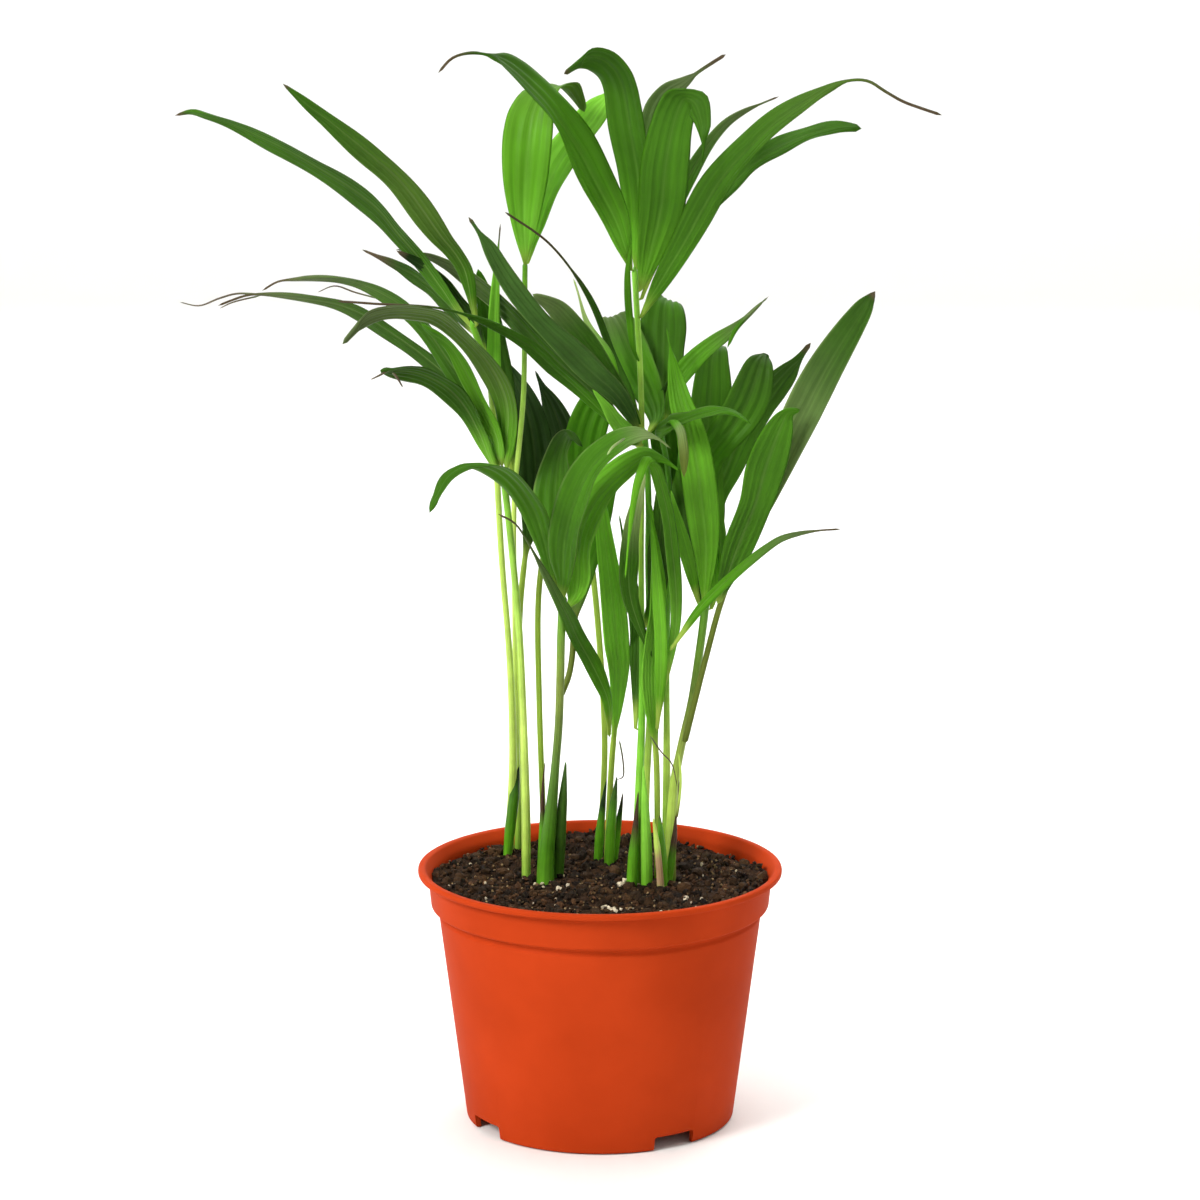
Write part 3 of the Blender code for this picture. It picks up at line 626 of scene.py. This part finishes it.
def make_blade(name, lines, base, blade, tip, seed, pleats=2, depth=0.07, rib=0.1,
               dry=0.0, edge=0.0, moves=(), tail=0.0, stem=STEM, turn=0.32):
    """A finished blade over its lines, coloured from its stem and base to its tip."""
    centre, reach, lift, thick = moved(lines, moves, tail)
    last = len(centre) - 1
    along = unit(np.gradient(centre, axis=0))
    upward = unit(np.cross(along, reach))
    half = np.linalg.norm(reach, axis=1)
    ends = np.ones(last + 1)
    ends[0] = ends[last] = 0.0
    leafy = ease(NARROW, BROAD, half)
    opening = int(np.argmax(half > 1.5 * MM))
    drift = np.array([noise.noise(Vector((seed + 0.5, i * 0.11, 0.3))) for i in range(last + 1)])

    def place(angle, row):
        top = angle < 0.5
        u = np.where(top, 4 * angle - 1, 3 - 4 * angle)
        side = np.where(top, 1.0, -1.0)
        share = row / last
        grown = (row - opening) / (last - opening)
        fold = np.cos(2 * np.pi * pleats * np.abs(u)) * (1 - u ** 6)
        ripple = depth * half[row] * leafy[row] * fold
        flap = WAVE * leafy[row] * u * u * np.sin(share * 21 + 1.3 * np.sign(u) + seed)
        sway = SWAY * drift[row] * leafy[row] * (1 - 0.5 * u * u)
        core = np.maximum(thick[row] - CORE_TRIM, 0.0) * np.sqrt(1 - u * u) * 1.1
        round_up = 0.5 * half[row] * (1 - leafy[row]) * np.sqrt(1 - u * u)
        midrib = MIDRIB * np.exp(-(u / 0.07) ** 2) * leafy[row]
        skin = (np.maximum(core, round_up) + SKIN + midrib) * np.sqrt(1 - u ** 8) * ends[row]
        points = centre[row] + reach[row] * (u * ends[row])[:, None]
        points = points + lift[row] * (1 - np.abs(u) ** 1.25)[:, None]
        points = points + upward[row] * (ripple + flap + sway + side * skin)[:, None]
        tint = mix(stem, base, ease(-0.06, 0.05, grown))
        tint = mix(tint, blade, ease(0.0, turn, grown))
        tint = mix(tint, tip, ease(max(0.45, turn), 0.92, share))
        tint = mix(tint, PALE, rib * 0.7 * np.exp(-(u / 0.06) ** 2) * (1 - 0.7 * share))
        # Painted light and shade along the pleats: ridges a little lighter, creases a little
        # darker.
        tint = tint * (1 + 0.06 * fold * leafy[row])[:, None]
        tint = mix(tint, PALE, edge * ease(0.88, 1.0, np.abs(u)) * leafy[row])
        under = tint * 0.8 + np.array((0.010, 0.020, 0.004)) * leafy[row][:, None]
        tint = mix(tint, under, np.where(top, 0.0, 1.0))
        tint = mix(tint, DRY, ease(1.0 - dry, 1.0 - 0.3 * dry, share) if dry else 0 * share)
        return points, tint

    return wrap_grid(name, 2 * BLADE_COLUMNS, last, place, leaf_skin)


print("blade maker ready, rows every", ROW_SPACING / MM, "mm")

# %% Leaflets
for number, node in enumerate(LEAF_NODES):
    piece = make_blade(node.replace("leaf_", "blade_"), blade_lines(node), seed=number,
                       **LOOKS[node.replace("leaf_", "")])
    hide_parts(node)
print("blades made:", len(LEAF_NODES))

# %% [markdown]
# ## Leaflets behind the others
# A full clump has more leaflets than can be told apart one by one. Some small ones stand
# behind or between the main ones and close the clump's gaps. They have no CAD nodes of
# their own, so a few guide points, a width and a direction across give their lines. The
# first guide point moves onto the nearest stem, so that none of them floats.

# %% Extra leaflets


def nearest_line(point):
    """The nearest point on the centre line of any stalk or leaflet."""
    known = [line[0] for line in (*stalks.values(), *blades.values())]
    finer = np.concatenate([resample(line, 12 * len(line)) for line in known])
    return finer[np.linalg.norm(finer - point, axis=1).argmin()]


def free_lines(guide, across, width, widest):
    """Lines of a blade through guide points in millimetres, grown from what is near."""
    guide = np.array(guide, float) * MM
    guide[0] = nearest_line(guide[0])
    rows = rows_for(guide, ROW_SPACING)
    centre = resample(guide, rows)
    share = np.linspace(0.0, 1.0, rows)
    rise = np.sin(np.pi / 2 * np.minimum(share / widest, 1.0)) ** 0.7
    fall = np.cos(np.pi / 2 * np.maximum(share - widest, 0.0) / (1.0 - widest)) ** 0.6
    half = np.maximum(width / 2 * rise * fall, 0.3) * MM
    ways = mix(across[0], across[1], share)
    along = unit(np.gradient(centre, axis=0))
    ways = unit(ways - along * (ways * along).sum(axis=1)[:, None])
    lift = np.cross(along, ways) * (half * 0.2)[:, None]
    return [centre, ways * half[:, None], lift, np.full(rows, 0.3 * MM)]


EXTRAS = {
    "right_fork": (((66, -10, 345.6), (61, -10, 340), (55, -10, 333.5), (51.5, -10, 326)),
                   ((0, -9, 3), (3, -9, 2)), 3.4, 0.5, "leaf_mid",
                   look(GREYISH, LEAF, MID, stem=GREYISH)),
    "top_stem": (((15.5, 8, 316), (13.4, 8, 324), (12.1, 8, 335), (11.3, 8, 346), (11.3, 8, 356),
                  (12.8, 7, 367)),
                 ((9, -3, 0), (9, -3, 0)), 3.2, 0.5, "leaf_fresh",
                 look(MID, MID, FRESH, rib=0.0, stem=FRESH)),
    "left_under": (((-40, -7, 276), (-42, -13, 289), (-49, -15, 305), (-60, -16, 326),
                    (-72, -18, 337)),
                   ((8, -6, 0), (5, -7, 5)), 9, 0.5, "leaf_light",
                   look(LIGHT, BRIGHT, MID, rib=0.5, pleats=3, depth=0.12)),
    "left_back": (((-45, 15, 318), (-51, 27, 329), (-60, 30, 341), (-71, 31, 353), (-84, 30, 361)),
                  ((4, -4, 8), (1, -4, 9)), 8, 0.4, "leaf_dark",
                  look(DARK, DARK, DEEP, rib=0.2, dry=0.1)),
    "back_3": (((-34, 44, 262), (-39, 47, 290), (-43, 48, 313), (-47, 49, 334), (-51, 50, 351)),
               ((9, 3, 0), (8, 2, -3)), 11, 0.5, "leaf_dark",
               look(DARK, DARK, MID)),
    "inner_5": (((15.2, -6, 198), (12.7, -8, 221.7), (11.9, -9, 238.6), (13.5, -10, 255.4),
                 (18.3, -12, 275.5)),
                ((9, -2, 1), (9, -2, 3)), 8, 0.45, "leaf_mid",
                look(LEAF, MID, PALE, rib=0.3, edge=0.4, stem=LEAF)),
    "centre_9": (((16.4, 6, 289), (8.1, 2, 306), (-3.2, -5, 324), (-10.9, -9, 334.3),
                  (-18.1, -14, 343), (-27, -19, 349)),
                 ((5, -2, 7), (4, -2, 8)), 10, 0.55, "leaf_mid",
                 look(DARK, LEAF, GREY_GREEN_AND_SHEEN, edge=0.3, stem=LEAF)),
    "inner_6": (((21, 2, 205), (23, -4, 222), (24, -5, 240), (25, -6, 256), (25, -6, 274)),
                ((9, -2, 1), (9, 2, 1)), 9, 0.5, "leaf_dark",
                look(MID, DARK, MID, rib=0.2)),
    "inner_7": (((25, -16, 297), (29, -24, 298), (31.4, -31, 297), (32.8, -34, 294),
                 (33.6, -34, 286), (33.6, -34, 277)),
                ((4, -8, 2), (9, -3, 2)), 4.6, 0.7, "leaf_fresh",
                look(FRESH, GREY_GREEN_AND_SHEEN, BARKY, stem=MID)),
    "inner_8": (((26, 14, 262), (27, 18, 280), (28, 22, 296), (30, 25, 309)),
                ((9, 2, 0), (9, 2, 0)), 13, 0.5, "leaf_mid",
                look(MID, MID, DARK, rib=0.2)),
}
for number, (name, (guide, across, width, wide_at, slot, more)) in enumerate(EXTRAS.items()):
    piece = make_blade("blade_" + name, free_lines(guide, across, width, wide_at),
                       seed=60 + number, **more)
print("extra leaflets:", len(EXTRAS))

# %% [markdown]
# ## Stalks
# A stalk is a smooth pale stem with faint ribs. Low down it is wrapped in leaf sheaths,
# so it is thicker and greener there. The wrapped grid gives it a round section, and its
# colours are given as stops, each a share of its length and a colour.

# %% Stalk finish
stalk_skin, tree, shader = new_finish("stalk_skin", 0.36, 0.2)
shader.inputs["Subsurface Weight"].default_value = 0.1
shader.inputs["Subsurface Radius"].default_value = (0.6, 1.0, 0.2)
shader.inputs["Subsurface Scale"].default_value = 0.002
ribs = streaks(tree, 26.0, 3.0)
level = times(tree, spread(tree, ribs, 0.3, 0.7, 0.78, 1.2),
              spread(tree, spots(tree, 120.0), 0.3, 0.7, 0.86, 1.12))
tree.links.new(shaded(tree, painted(tree), level), shader.inputs["Base Color"])
raised(tree, ribs.outputs["Fac"], shader, 0.0002, 0.5)
print("stalk finish:", stalk_skin.name)

# %% Rod maker
ROD_COLUMNS = 20
RIBBING = 0.035


def make_rod(name, centre, radius, stops):
    """A ribbed rod along a line. stops are (share, colour) pairs, and the last holds on."""
    last = len(centre) - 1
    radius = np.array(radius, float)
    radius[0] = radius[last] = 0.0
    along = unit(np.gradient(centre, axis=0))
    right = unit(np.cross(np.tile((0.0, 1.0, 0.0), (last + 1, 1)), along))
    front = np.cross(along, right)
    shares = [share for share, _ in stops]
    colours = np.array([colour for _, colour in stops])

    def place(turn, row):
        angle = 2 * np.pi * turn
        size = (radius[row] * (1 + RIBBING * np.cos(7 * angle + row * 0.03)))[:, None]
        points = centre[row] + (right[row] * np.cos(angle)[:, None]
                                + front[row] * np.sin(angle)[:, None]) * size
        tints = np.stack([np.interp(row / last, shares, colours[:, k]) for k in range(3)], axis=1)
        return points, tints

    item = wrap_grid(name, ROD_COLUMNS, last, place, stalk_skin)
    return item


LOW_GREEN = (0.12, 0.33, 0.02)
LIME = (0.50, 0.68, 0.13)
MOSS = (0.045, 0.120, 0.012)
STALK_STOPS = {
    "upper_left": [(0.12, LIME), (0.8, STEM), (1.0, BRIGHT)],
    "top_left": [(0.15, STEM), (0.6, LIME), (1.0, BRIGHT)],
    "left": [(0.15, STEM), (0.4, LIME), (1.0, BRIGHT)],
    "front": [(0.2, MID), (0.45, OLIVE), (0.7, BARKY), (1.0, FRESH)],
    "top": [(0.15, LIGHT), (0.4, BRIGHT), (0.7, STEM), (1.0, LIGHT)],
    "centre": [(0.2, STEM), (0.5, MID), (1.0, FRESH)],
    "inner_right": [(0.3, STEM), (0.5, FRESH), (1.0, MID)],
    "right": [(0.12, BARKY), (0.3, STEM), (0.55, BARKY), (1.0, FRESH)],
}
for node in STALK_NODES:
    centres, radii = stalks[node]
    rows = rows_for(centres, 3 * MM)
    stops = [(0.0, LOW_GREEN), *STALK_STOPS[node.replace("stalk_", "")]]
    piece = make_rod(node.replace("stalk_", "stem_"), resample(centres, rows),
                     resample(radii, rows), stops)
    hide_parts(node)
print("stalks made:", len(STALK_NODES))

# %% [markdown]
# ## Sheaths and dried threads
# A palm seedling keeps the stubs of its first leaf sheaths round its foot. They end in
# dark or brown points, and some leaflets end in a dried thread. Both are rods that run
# out to a point. A curve with a taper would do too, but the rod maker also gives the UVs.

# %% Sheaths and threads
BROWN = (0.060, 0.032, 0.016)
TAN = (0.42, 0.28, 0.15)


def pointed(name, guide, widths, stops):
    """A rod through guide points in millimetres, with its radii in millimetres."""
    guide = np.array(guide, float) * MM
    rows = max(12, rows_for(guide, 1.5 * MM))
    shares = np.linspace(0.0, 1.0, rows)
    radius = np.interp(shares, np.linspace(0.0, 1.0, len(widths)), widths) * MM
    make_rod(name, resample(guide, rows), radius, stops)


SHEATHS = {
    "left": (((-40, 40, 97), (-38.5, 39.5, 112), (-36.5, 39.5, 127), (-34.5, 40, 140)),
             (1.6, 2.3, 2.2, 0.2), [(0, BRIGHT), (0.2, FRESH), (0.6, MID), (0.85, DEEP)]),
    "front_spike": (((-25, 5, 97), (-24.2, 5.5, 120), (-23.9, 6, 138), (-23, 6, 150)),
                    (1.8, 1.4, 0.6, 0.15), [(0, FRESH), (0.35, FRESH), (0.5, BROWN)]),
    "front": (((-18, 7, 97), (-17, 5, 115), (-15.5, 2, 135), (-14.2, -1, 152)),
              (2.3, 2.6, 1.9, 0.3), [(0, LEAF), (0.3, MOSS)]),
    "middle_left": (((-1, 36, 97), (-0.2, 36, 110), (1, 36.5, 122), (2.8, 37, 135)),
                    (1.8, 2.0, 1.4, 0.2), [(0, FRESH), (0.5, FRESH), (0.7, DEEP)]),
    "middle": (((3.6, 25, 97), (4.5, 25, 115), (5.8, 26, 128), (7.2, 26, 139)),
               (2.1, 2.1, 1.6, 0.2), [(0, BRIGHT), (0.5, FRESH), (0.72, MOSS), (1, DEEP)]),
    "middle_right": (((5, 29, 97), (6.6, 29.5, 110), (8.2, 30, 120), (9.8, 30, 131)),
                     (2.0, 1.9, 1.2, 0.2), [(0, BRIGHT), (0.5, FRESH), (0.75, DEEP), (1, BROWN)]),
    "right_left": (((13, -4.5, 97), (13.8, -4.5, 112), (14.8, -4.5, 126), (15.9, -4.5, 140)),
                   (2.3, 2.2, 1.2, 0.2), [(0, BRIGHT), (0.4, FRESH), (0.65, BROWN)]),
    "right_middle": (((19.5, -3.5, 97), (19.2, -3.5, 115), (18.6, -3.5, 134), (17.9, -3.2, 151)),
                     (2.5, 2.4, 1.7, 0.2), [(0, BRIGHT), (0.3, LIGHT)]),
    "right_pale": (((25.4, -13, 97), (24.6, -13, 108), (23.6, -13, 119), (22, -13, 131)),
                   (1.6, 1.4, 1.3, 0.4),
                   [(0, BRIGHT), (0.2, TAN), (0.5, TAN), (0.65, LIME), (1, STEM)]),
    "right_arm": (((26, -10, 97), (25.8, -10, 110), (25.3, -9.5, 121), (24.6, -9, 131)),
                  (2.3, 2.2, 1.5, 0.4), [(0, BRIGHT), (0.5, FRESH), (0.85, FRESH), (1, BROWN)]),
    "right_outer": (((27.8, -6, 97), (29.5, -5.5, 109), (30.8, -5, 120), (31.7, -5, 131)),
                    (1.6, 1.7, 1.2, 0.2), [(0, BRIGHT), (0.4, FRESH), (0.6, BROWN)]),
}
THREADS = {
    "left_long": (((-140, 55, 339.5), (-151.9, 59, 339.6), (-160, 60, 337.5), (-168.8, 61, 334.2),
                   (-177.2, 62, 335.6)), 0.42),
    "left_short": (((-142.4, 57, 339), (-153.8, 58, 336.2), (-160, 58, 333.4)), 0.34),
    "left_curl": (((-90, 6, 344), (-99.8, 7, 346.5), (-108, 8, 349), (-115.3, 8, 346.3)), 0.34),
    "left_barb": (((-83, -42, 322), (-87.1, -44, 319.9), (-91, -44, 318)), 0.42),
    "left_hook": (((-82.5, -42, 321), (-80.4, -43, 318.7), (-78.1, -43, 314.7)), 0.5),
    "right_cross": (((20.6, -5, 164), (25.3, -5, 157), (29.9, -5, 151.5), (32, -5, 142)), 0.3),
    "middle_loop": (((8, 22, 156), (9.5, 22, 148), (9.9, 22.5, 140), (7.2, 25, 137.5)), 0.36),
    "right_tail": (((31.7, -5, 130), (32.4, -5, 136), (32.7, -5, 145)), 0.3),
    "front_fork": (((10, -58, 297), (5.1, -60, 293.7), (2.8, -60, 290.5)), 0.5),
    "right_arm": (((31.7, -5, 128), (33, -5, 138), (33.4, -4, 147), (32.6, -3, 156)), 0.6),
}
THREAD_STOPS = {"front_fork": [(0, GREYISH), (1, PALE)],
                "right_arm": [(0, BROWN), (0.3, STEM)]}
for name, (guide, widths, stops) in SHEATHS.items():
    pointed("sheath_" + name, guide, widths, stops)
for name, (guide, thickness) in THREADS.items():
    stops = THREAD_STOPS.get(name, [(0, GREYISH), (0.3, DRY)])
    pointed("thread_" + name, guide, (thickness, thickness, thickness * 0.5), stops)
print("sheaths:", len(SHEATHS), "threads:", len(THREADS))

# %% [markdown]
# ## Soil
# Potting mix is dark peat with crumbs, bark and white perlite. Its bed is a globe whose
# upper half is pressed into a lumpy disc and whose lower half fills the pot. Simulating
# loose grains would take far longer for the same look, so they are scattered in place.

# %% Soil bed
SOIL_LEVEL = 100.0
SOIL_REACH = 68.0
RIM_DIP = 1.2
SOIL_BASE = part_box("soil")[0][2] / MM
WALL_HEIGHTS = (8.0, 88.4, 92.4, 103.2, 106.6)
WALL_RADII = (53.9, 65.3, 68.8, 69.7, 72.5)


def soil_height(x, y):
    """Height in millimetres of the soil's surface at a place in millimetres."""
    here = Vector((x, y, 0.0)) * 0.001
    swell = noise.noise(here * 30.0 + Vector((0.0, 0.0, 4.2)))
    lump = noise.noise(here * 95.0)
    crumb = noise.noise(here * 260.0)
    bank = 3.4 * ease(48.0, 69.0, math.hypot(x, y)) * math.cos(2 * math.atan2(y, x)) ** 2
    return SOIL_LEVEL + 1.6 * swell + 1.5 * lump + 0.9 * crumb + bank


def wall_radius(height):
    """Radius in millimetres that the soil may fill at a height."""
    return np.interp(height, WALL_HEIGHTS, WALL_RADII)


deselect()
bpy.ops.mesh.primitive_uv_sphere_add(segments=180, ring_count=120, radius=1.0)
soil_bed = bpy.context.object
soil_bed.name = soil_bed.data.name = "soil_bed"
for corner in soil_bed.data.vertices:
    x, y, z = corner.co
    flat = max(math.hypot(x, y), 1e-9)
    down = 2 * math.acos(max(-1.0, min(1.0, z))) / math.pi
    edge = soil_height(SOIL_REACH * x / flat, SOIL_REACH * y / flat)
    if down <= 1.0:
        reach = wall_radius(edge) * down
        height = soil_height(reach * x / flat, reach * y / flat)
        height -= RIM_DIP * ease(0.95, 1.0, down)
    else:
        height = edge - RIM_DIP + (SOIL_BASE - edge + RIM_DIP) * min(1.0, 2 * (down - 1.0))
        reach = wall_radius(height) * min(1.0, 2 * (2.0 - down))
    corner.co = (reach * x / flat * MM, reach * y / flat * MM, height * MM)
bpy.ops.object.shade_smooth()
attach(soil_bed, "root")
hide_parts("soil")
print("soil bed corners:", len(soil_bed.data.vertices))

# %% Soil finish
soil_skin, tree, shader = new_finish("soil_peat", 0.9, 0.1)
patches = spots(tree, 160.0, 6.0)
fibres = spots(tree, 900.0, 4.0)
share = times(tree, spread(tree, patches, 0.3, 0.75, 0.0, 1.0),
              spread(tree, fibres, 0.3, 0.7, 0.4, 1.2))
blend(tree, (0.008, 0.004, 0.002), (0.058, 0.027, 0.012), share, shader)
raised(tree, patches.outputs["Fac"], shader, 0.004, 0.9)
soil_bed.data.materials.append(soil_skin)
print("soil finish:", soil_skin.name)

# %% Crumb finish
crumb_skin, tree, shader = new_finish("crumb_skin", 0.8, 0.15)
pits = spots(tree, 1500.0, 3.0)
tree.links.new(shaded(tree, painted(tree), spread(tree, pits, 0.3, 0.7, 0.6, 1.3)),
               shader.inputs["Base Color"])
raised(tree, pits.outputs["Fac"], shader, 0.0008, 0.7)
print("crumb finish:", crumb_skin.name)

# %% Crumb models
draw = random.Random(11)


def crumb_model(name, detail, rough):
    """One crumb of unit size: a globe of triangles whose corners are pushed about."""
    deselect()
    bpy.ops.mesh.primitive_ico_sphere_add(subdivisions=detail, radius=1.0)
    crumb = bpy.context.object
    crumb.name = name
    bpy.ops.object.mode_set(mode="EDIT")
    bpy.ops.transform.vertex_random(offset=rough, seed=draw.randint(0, 999))
    bpy.ops.mesh.normals_make_consistent(inside=False)
    bpy.ops.object.mode_set(mode="OBJECT")
    return crumb


grit_models = [crumb_model("grit_%d" % k, 1, 0.4) for k in range(5)]
lump_models = [crumb_model("lump_%d" % k, 2, 0.28) for k in range(4)]
print("crumb models:", len(grit_models) + len(lump_models))

# %% Scattered crumbs


def scatter(name, models, places, finish):
    """Copies models to (place, size, colour) and joins them into one piece."""
    copies = []
    for x, y, sink, size, colour in places:
        copy = bpy.data.objects.new("crumb", draw.choice(models).data.copy())
        bpy.context.scene.collection.objects.link(copy)
        copy.rotation_euler = [draw.uniform(0.0, 6.28) for _ in range(3)]
        copy.scale = [s * MM for s in size]
        copy.location = (x * MM, y * MM, (soil_height(x, y) + sink) * MM)
        layer = copy.data.attributes.new("tint", "FLOAT_COLOR", "POINT")
        layer.data.foreach_set("color", [*colour, 1.0] * len(copy.data.vertices))
        copies.append(copy)
    deselect()
    for copy in copies:
        copy.select_set(True)
    bpy.context.view_layer.objects.active = copies[0]
    bpy.ops.object.transform_apply(location=True, rotation=True, scale=True)
    bpy.ops.object.join()
    piece = bpy.context.object
    piece.name = piece.data.name = name
    piece.data.materials.clear()
    piece.data.materials.append(finish)
    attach(piece, "root")


def soil_spot():
    """A random place on the soil, in millimetres."""
    reach = SOIL_REACH * math.sqrt(draw.random())
    turn = draw.uniform(0.0, 2 * math.pi)
    return reach * math.cos(turn), reach * math.sin(turn)


def grains(count, sizes, colours, sink):
    """Random (x, y, sink, size, colour) of grains, flattened by chance."""
    rows = []
    for _ in range(count):
        size = draw.uniform(*sizes)
        shape = [size * draw.uniform(0.6, 1.3) for _ in range(3)]
        shade = draw.uniform(0.6, 1.3)
        colour = [shade * part for part in draw.choice(colours)]
        rows.append((*soil_spot(), draw.uniform(*sink), shape, colour))
    return rows


PEATS = [(0.016, 0.008, 0.003), (0.029, 0.014, 0.005), (0.046, 0.022, 0.008),
         (0.008, 0.004, 0.002)]
BARKS = [(0.080, 0.034, 0.015), (0.105, 0.050, 0.022), (0.058, 0.026, 0.010)]
STRAWS = [(0.30, 0.20, 0.10), (0.22, 0.15, 0.07), (0.18, 0.11, 0.05)]
PERLITE = [(0.70, 0.60, 0.44), (0.56, 0.47, 0.32), (0.42, 0.34, 0.22)]
scatter("soil_grit", grit_models, grains(2200, (0.4, 1.0), PEATS, (0.0, 0.5)), crumb_skin)
scatter("soil_clods", grit_models, grains(700, (0.9, 1.9), PEATS + BARKS[2:], (-0.2, 0.8)),
        crumb_skin)
scatter("soil_lumps", lump_models, grains(190, (1.6, 3.0), PEATS[:3], (-0.7, 0.7)), crumb_skin)
scatter("soil_bark", grit_models, grains(260, (0.6, 1.4), BARKS, (0.2, 0.9)), crumb_skin)
scatter("soil_straw", grit_models, grains(260, (0.25, 0.7), STRAWS, (0.7, 1.4)), crumb_skin)
white = grains(45, (0.3, 0.8), PERLITE, (0.7, 1.3))
PERLITE_SPOTS = ((11, -6), (13, -3), (8, -8), (10, -2), (5, -42), (7, -44), (3, -40),
                 (-15, -12), (36, -32))
for x, y in PERLITE_SPOTS:
    for _ in range(3):
        shape = [draw.uniform(0.6, 1.3) for _ in range(3)]
        white.append((x + draw.gauss(0, 2), y + draw.gauss(0, 2), 1.0, shape, PERLITE[0]))
scatter("soil_perlite", grit_models, white, crumb_skin)
for model in grit_models + lump_models:
    bpy.data.objects.remove(model, do_unlink=True)

# %% [markdown]
# ## Pot
# The pot is moulded plastic with a rolled lip, a stepped collar, drain notches in its
# foot and drain holes under it. Its wall is drawn as one outline with rounded corners
# and spun round its axis, then the notches and holes are cut. The CAD pot has the same
# shape with flat facets, and a finer spin keeps its outline round.

# %% Pot outline
POT_CORNERS = [
    (73.0, 107.0, 0.9), (75.95, 107.0, 1.0), (75.95, 104.5, 0.9), (71.8, 104.1, 0.8),
    (70.5, 91.0, 0.9), (66.6, 90.0, 0.6), (66.6, 88.3, 0.5), (67.25, 86.9, 0.6),
    (56.15, 0.0, 0.9), (54.0, 0.0, 0.6), (54.0, 6.4, 0.8),
    (12.0, 6.4, 0.8), (12.0, 0.0, 0.6), (0.0, 0.0, 0.0), (0.0, 8.0, 0.0), (54.4, 8.0, 1.0),
    (65.8, 88.4, 1.5), (69.3, 92.4, 1.5), (70.2, 103.0, 1.5)]
ROUND_STEPS = 5


def rounded(corners):
    """An outline of (radius, height) with each corner turned into a small arc."""
    outline = []
    for i, (across, up, size) in enumerate(corners):
        here = np.array((across, up))
        if size == 0.0:
            outline.append(here)
            continue
        before = here + unit(np.array(corners[i - 1][:2]) - here) * size
        after = here + unit(np.array(corners[(i + 1) % len(corners)][:2]) - here) * size
        for t in np.linspace(0.0, 1.0, ROUND_STEPS):
            outline.append((1 - t) ** 2 * before + 2 * t * (1 - t) * here + t * t * after)
    return outline


outline = rounded(POT_CORNERS)
print("outline points:", len(outline))

# %% Spun pot
mesh = bpy.data.meshes.new("pot_shell")
count = len(outline)
ring = [(point[0] * MM, 0.0, point[1] * MM) for point in outline]
pairs = [(k, (k + 1) % count) for k in range(count)]
edges = [(a, b) for a, b in pairs if outline[a][0] + outline[b][0] > 0.0]
mesh.from_pydata(ring, edges, [])
pot_shell = bpy.data.objects.new("pot_shell", mesh)
bpy.context.scene.collection.objects.link(pot_shell)
only(pot_shell)
bpy.ops.object.mode_set(mode="EDIT")
bpy.ops.mesh.select_all(action="SELECT")
bpy.ops.mesh.spin(steps=160, angle=2 * math.pi, center=(0.0, 0.0, 0.0), axis=(0.0, 0.0, 1.0))
bpy.ops.mesh.select_all(action="SELECT")
bpy.ops.mesh.remove_doubles(threshold=0.000005)
bpy.ops.mesh.normals_make_consistent(inside=False)
bpy.ops.object.mode_set(mode="OBJECT")
print("pot shell faces:", len(pot_shell.data.polygons))

# %% Notches and holes
FIRST_NOTCH = -57.0
NOTCH_PLACE, HOLE_PLACE = 0.056, 0.046
NOTCH_SIZE = (0.014, 0.019, 0.0116)
HOLE_RADIUS = 0.004


def outward(distance, turn):
    """A point on the ground at a distance from the pot's axis."""
    return distance * math.cos(turn), distance * math.sin(turn), 0.0


for k in range(4):
    turn = math.radians(FIRST_NOTCH + 90.0 * k)
    deselect()
    bpy.ops.mesh.primitive_cube_add(size=1.0, location=outward(NOTCH_PLACE, turn))
    notch = bpy.context.object
    notch.dimensions = NOTCH_SIZE
    notch.rotation_euler[2] = turn
    bpy.ops.object.transform_apply(location=False, rotation=False, scale=True)
    bpy.ops.object.mode_set(mode="EDIT")
    bpy.ops.mesh.select_all(action="SELECT")
    bpy.ops.mesh.bevel(offset=1.2 * MM, segments=3)
    bpy.ops.object.mode_set(mode="OBJECT")
    bpy.ops.mesh.primitive_cylinder_add(vertices=40, radius=HOLE_RADIUS, depth=0.03,
                                        location=outward(HOLE_PLACE, turn))
    hole = bpy.context.object
    for cutter in (notch, hole):
        only(pot_shell)
        cut = pot_shell.modifiers.new("cut", "BOOLEAN")
        cut.operation = "DIFFERENCE"
        cut.object = cutter
        bpy.ops.object.modifier_apply(modifier="cut")
        bpy.data.objects.remove(cutter, do_unlink=True)
only(pot_shell)
bpy.ops.object.shade_smooth_by_angle(angle=math.radians(32.0))
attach(pot_shell, "root")
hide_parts("pot")
print("pot faces after cutting:", len(pot_shell.data.polygons))

# %% Pot finish
pot_skin, tree, shader = new_finish("pot_plastic", 0.55, 0.02)
broad = spots(tree, 22.0, 4.0)
grain = spots(tree, 1400.0, 2.0)
blend(tree, (0.40, 0.037, 0.006), (0.47, 0.045, 0.008),
      spread(tree, broad, 0.35, 0.65, 0.0, 1.0), shader)
raised(tree, grain.outputs["Fac"], shader, 0.00004, 0.5)
pot_shell.data.materials.append(pot_skin)
print("pot finish:", pot_skin.name)
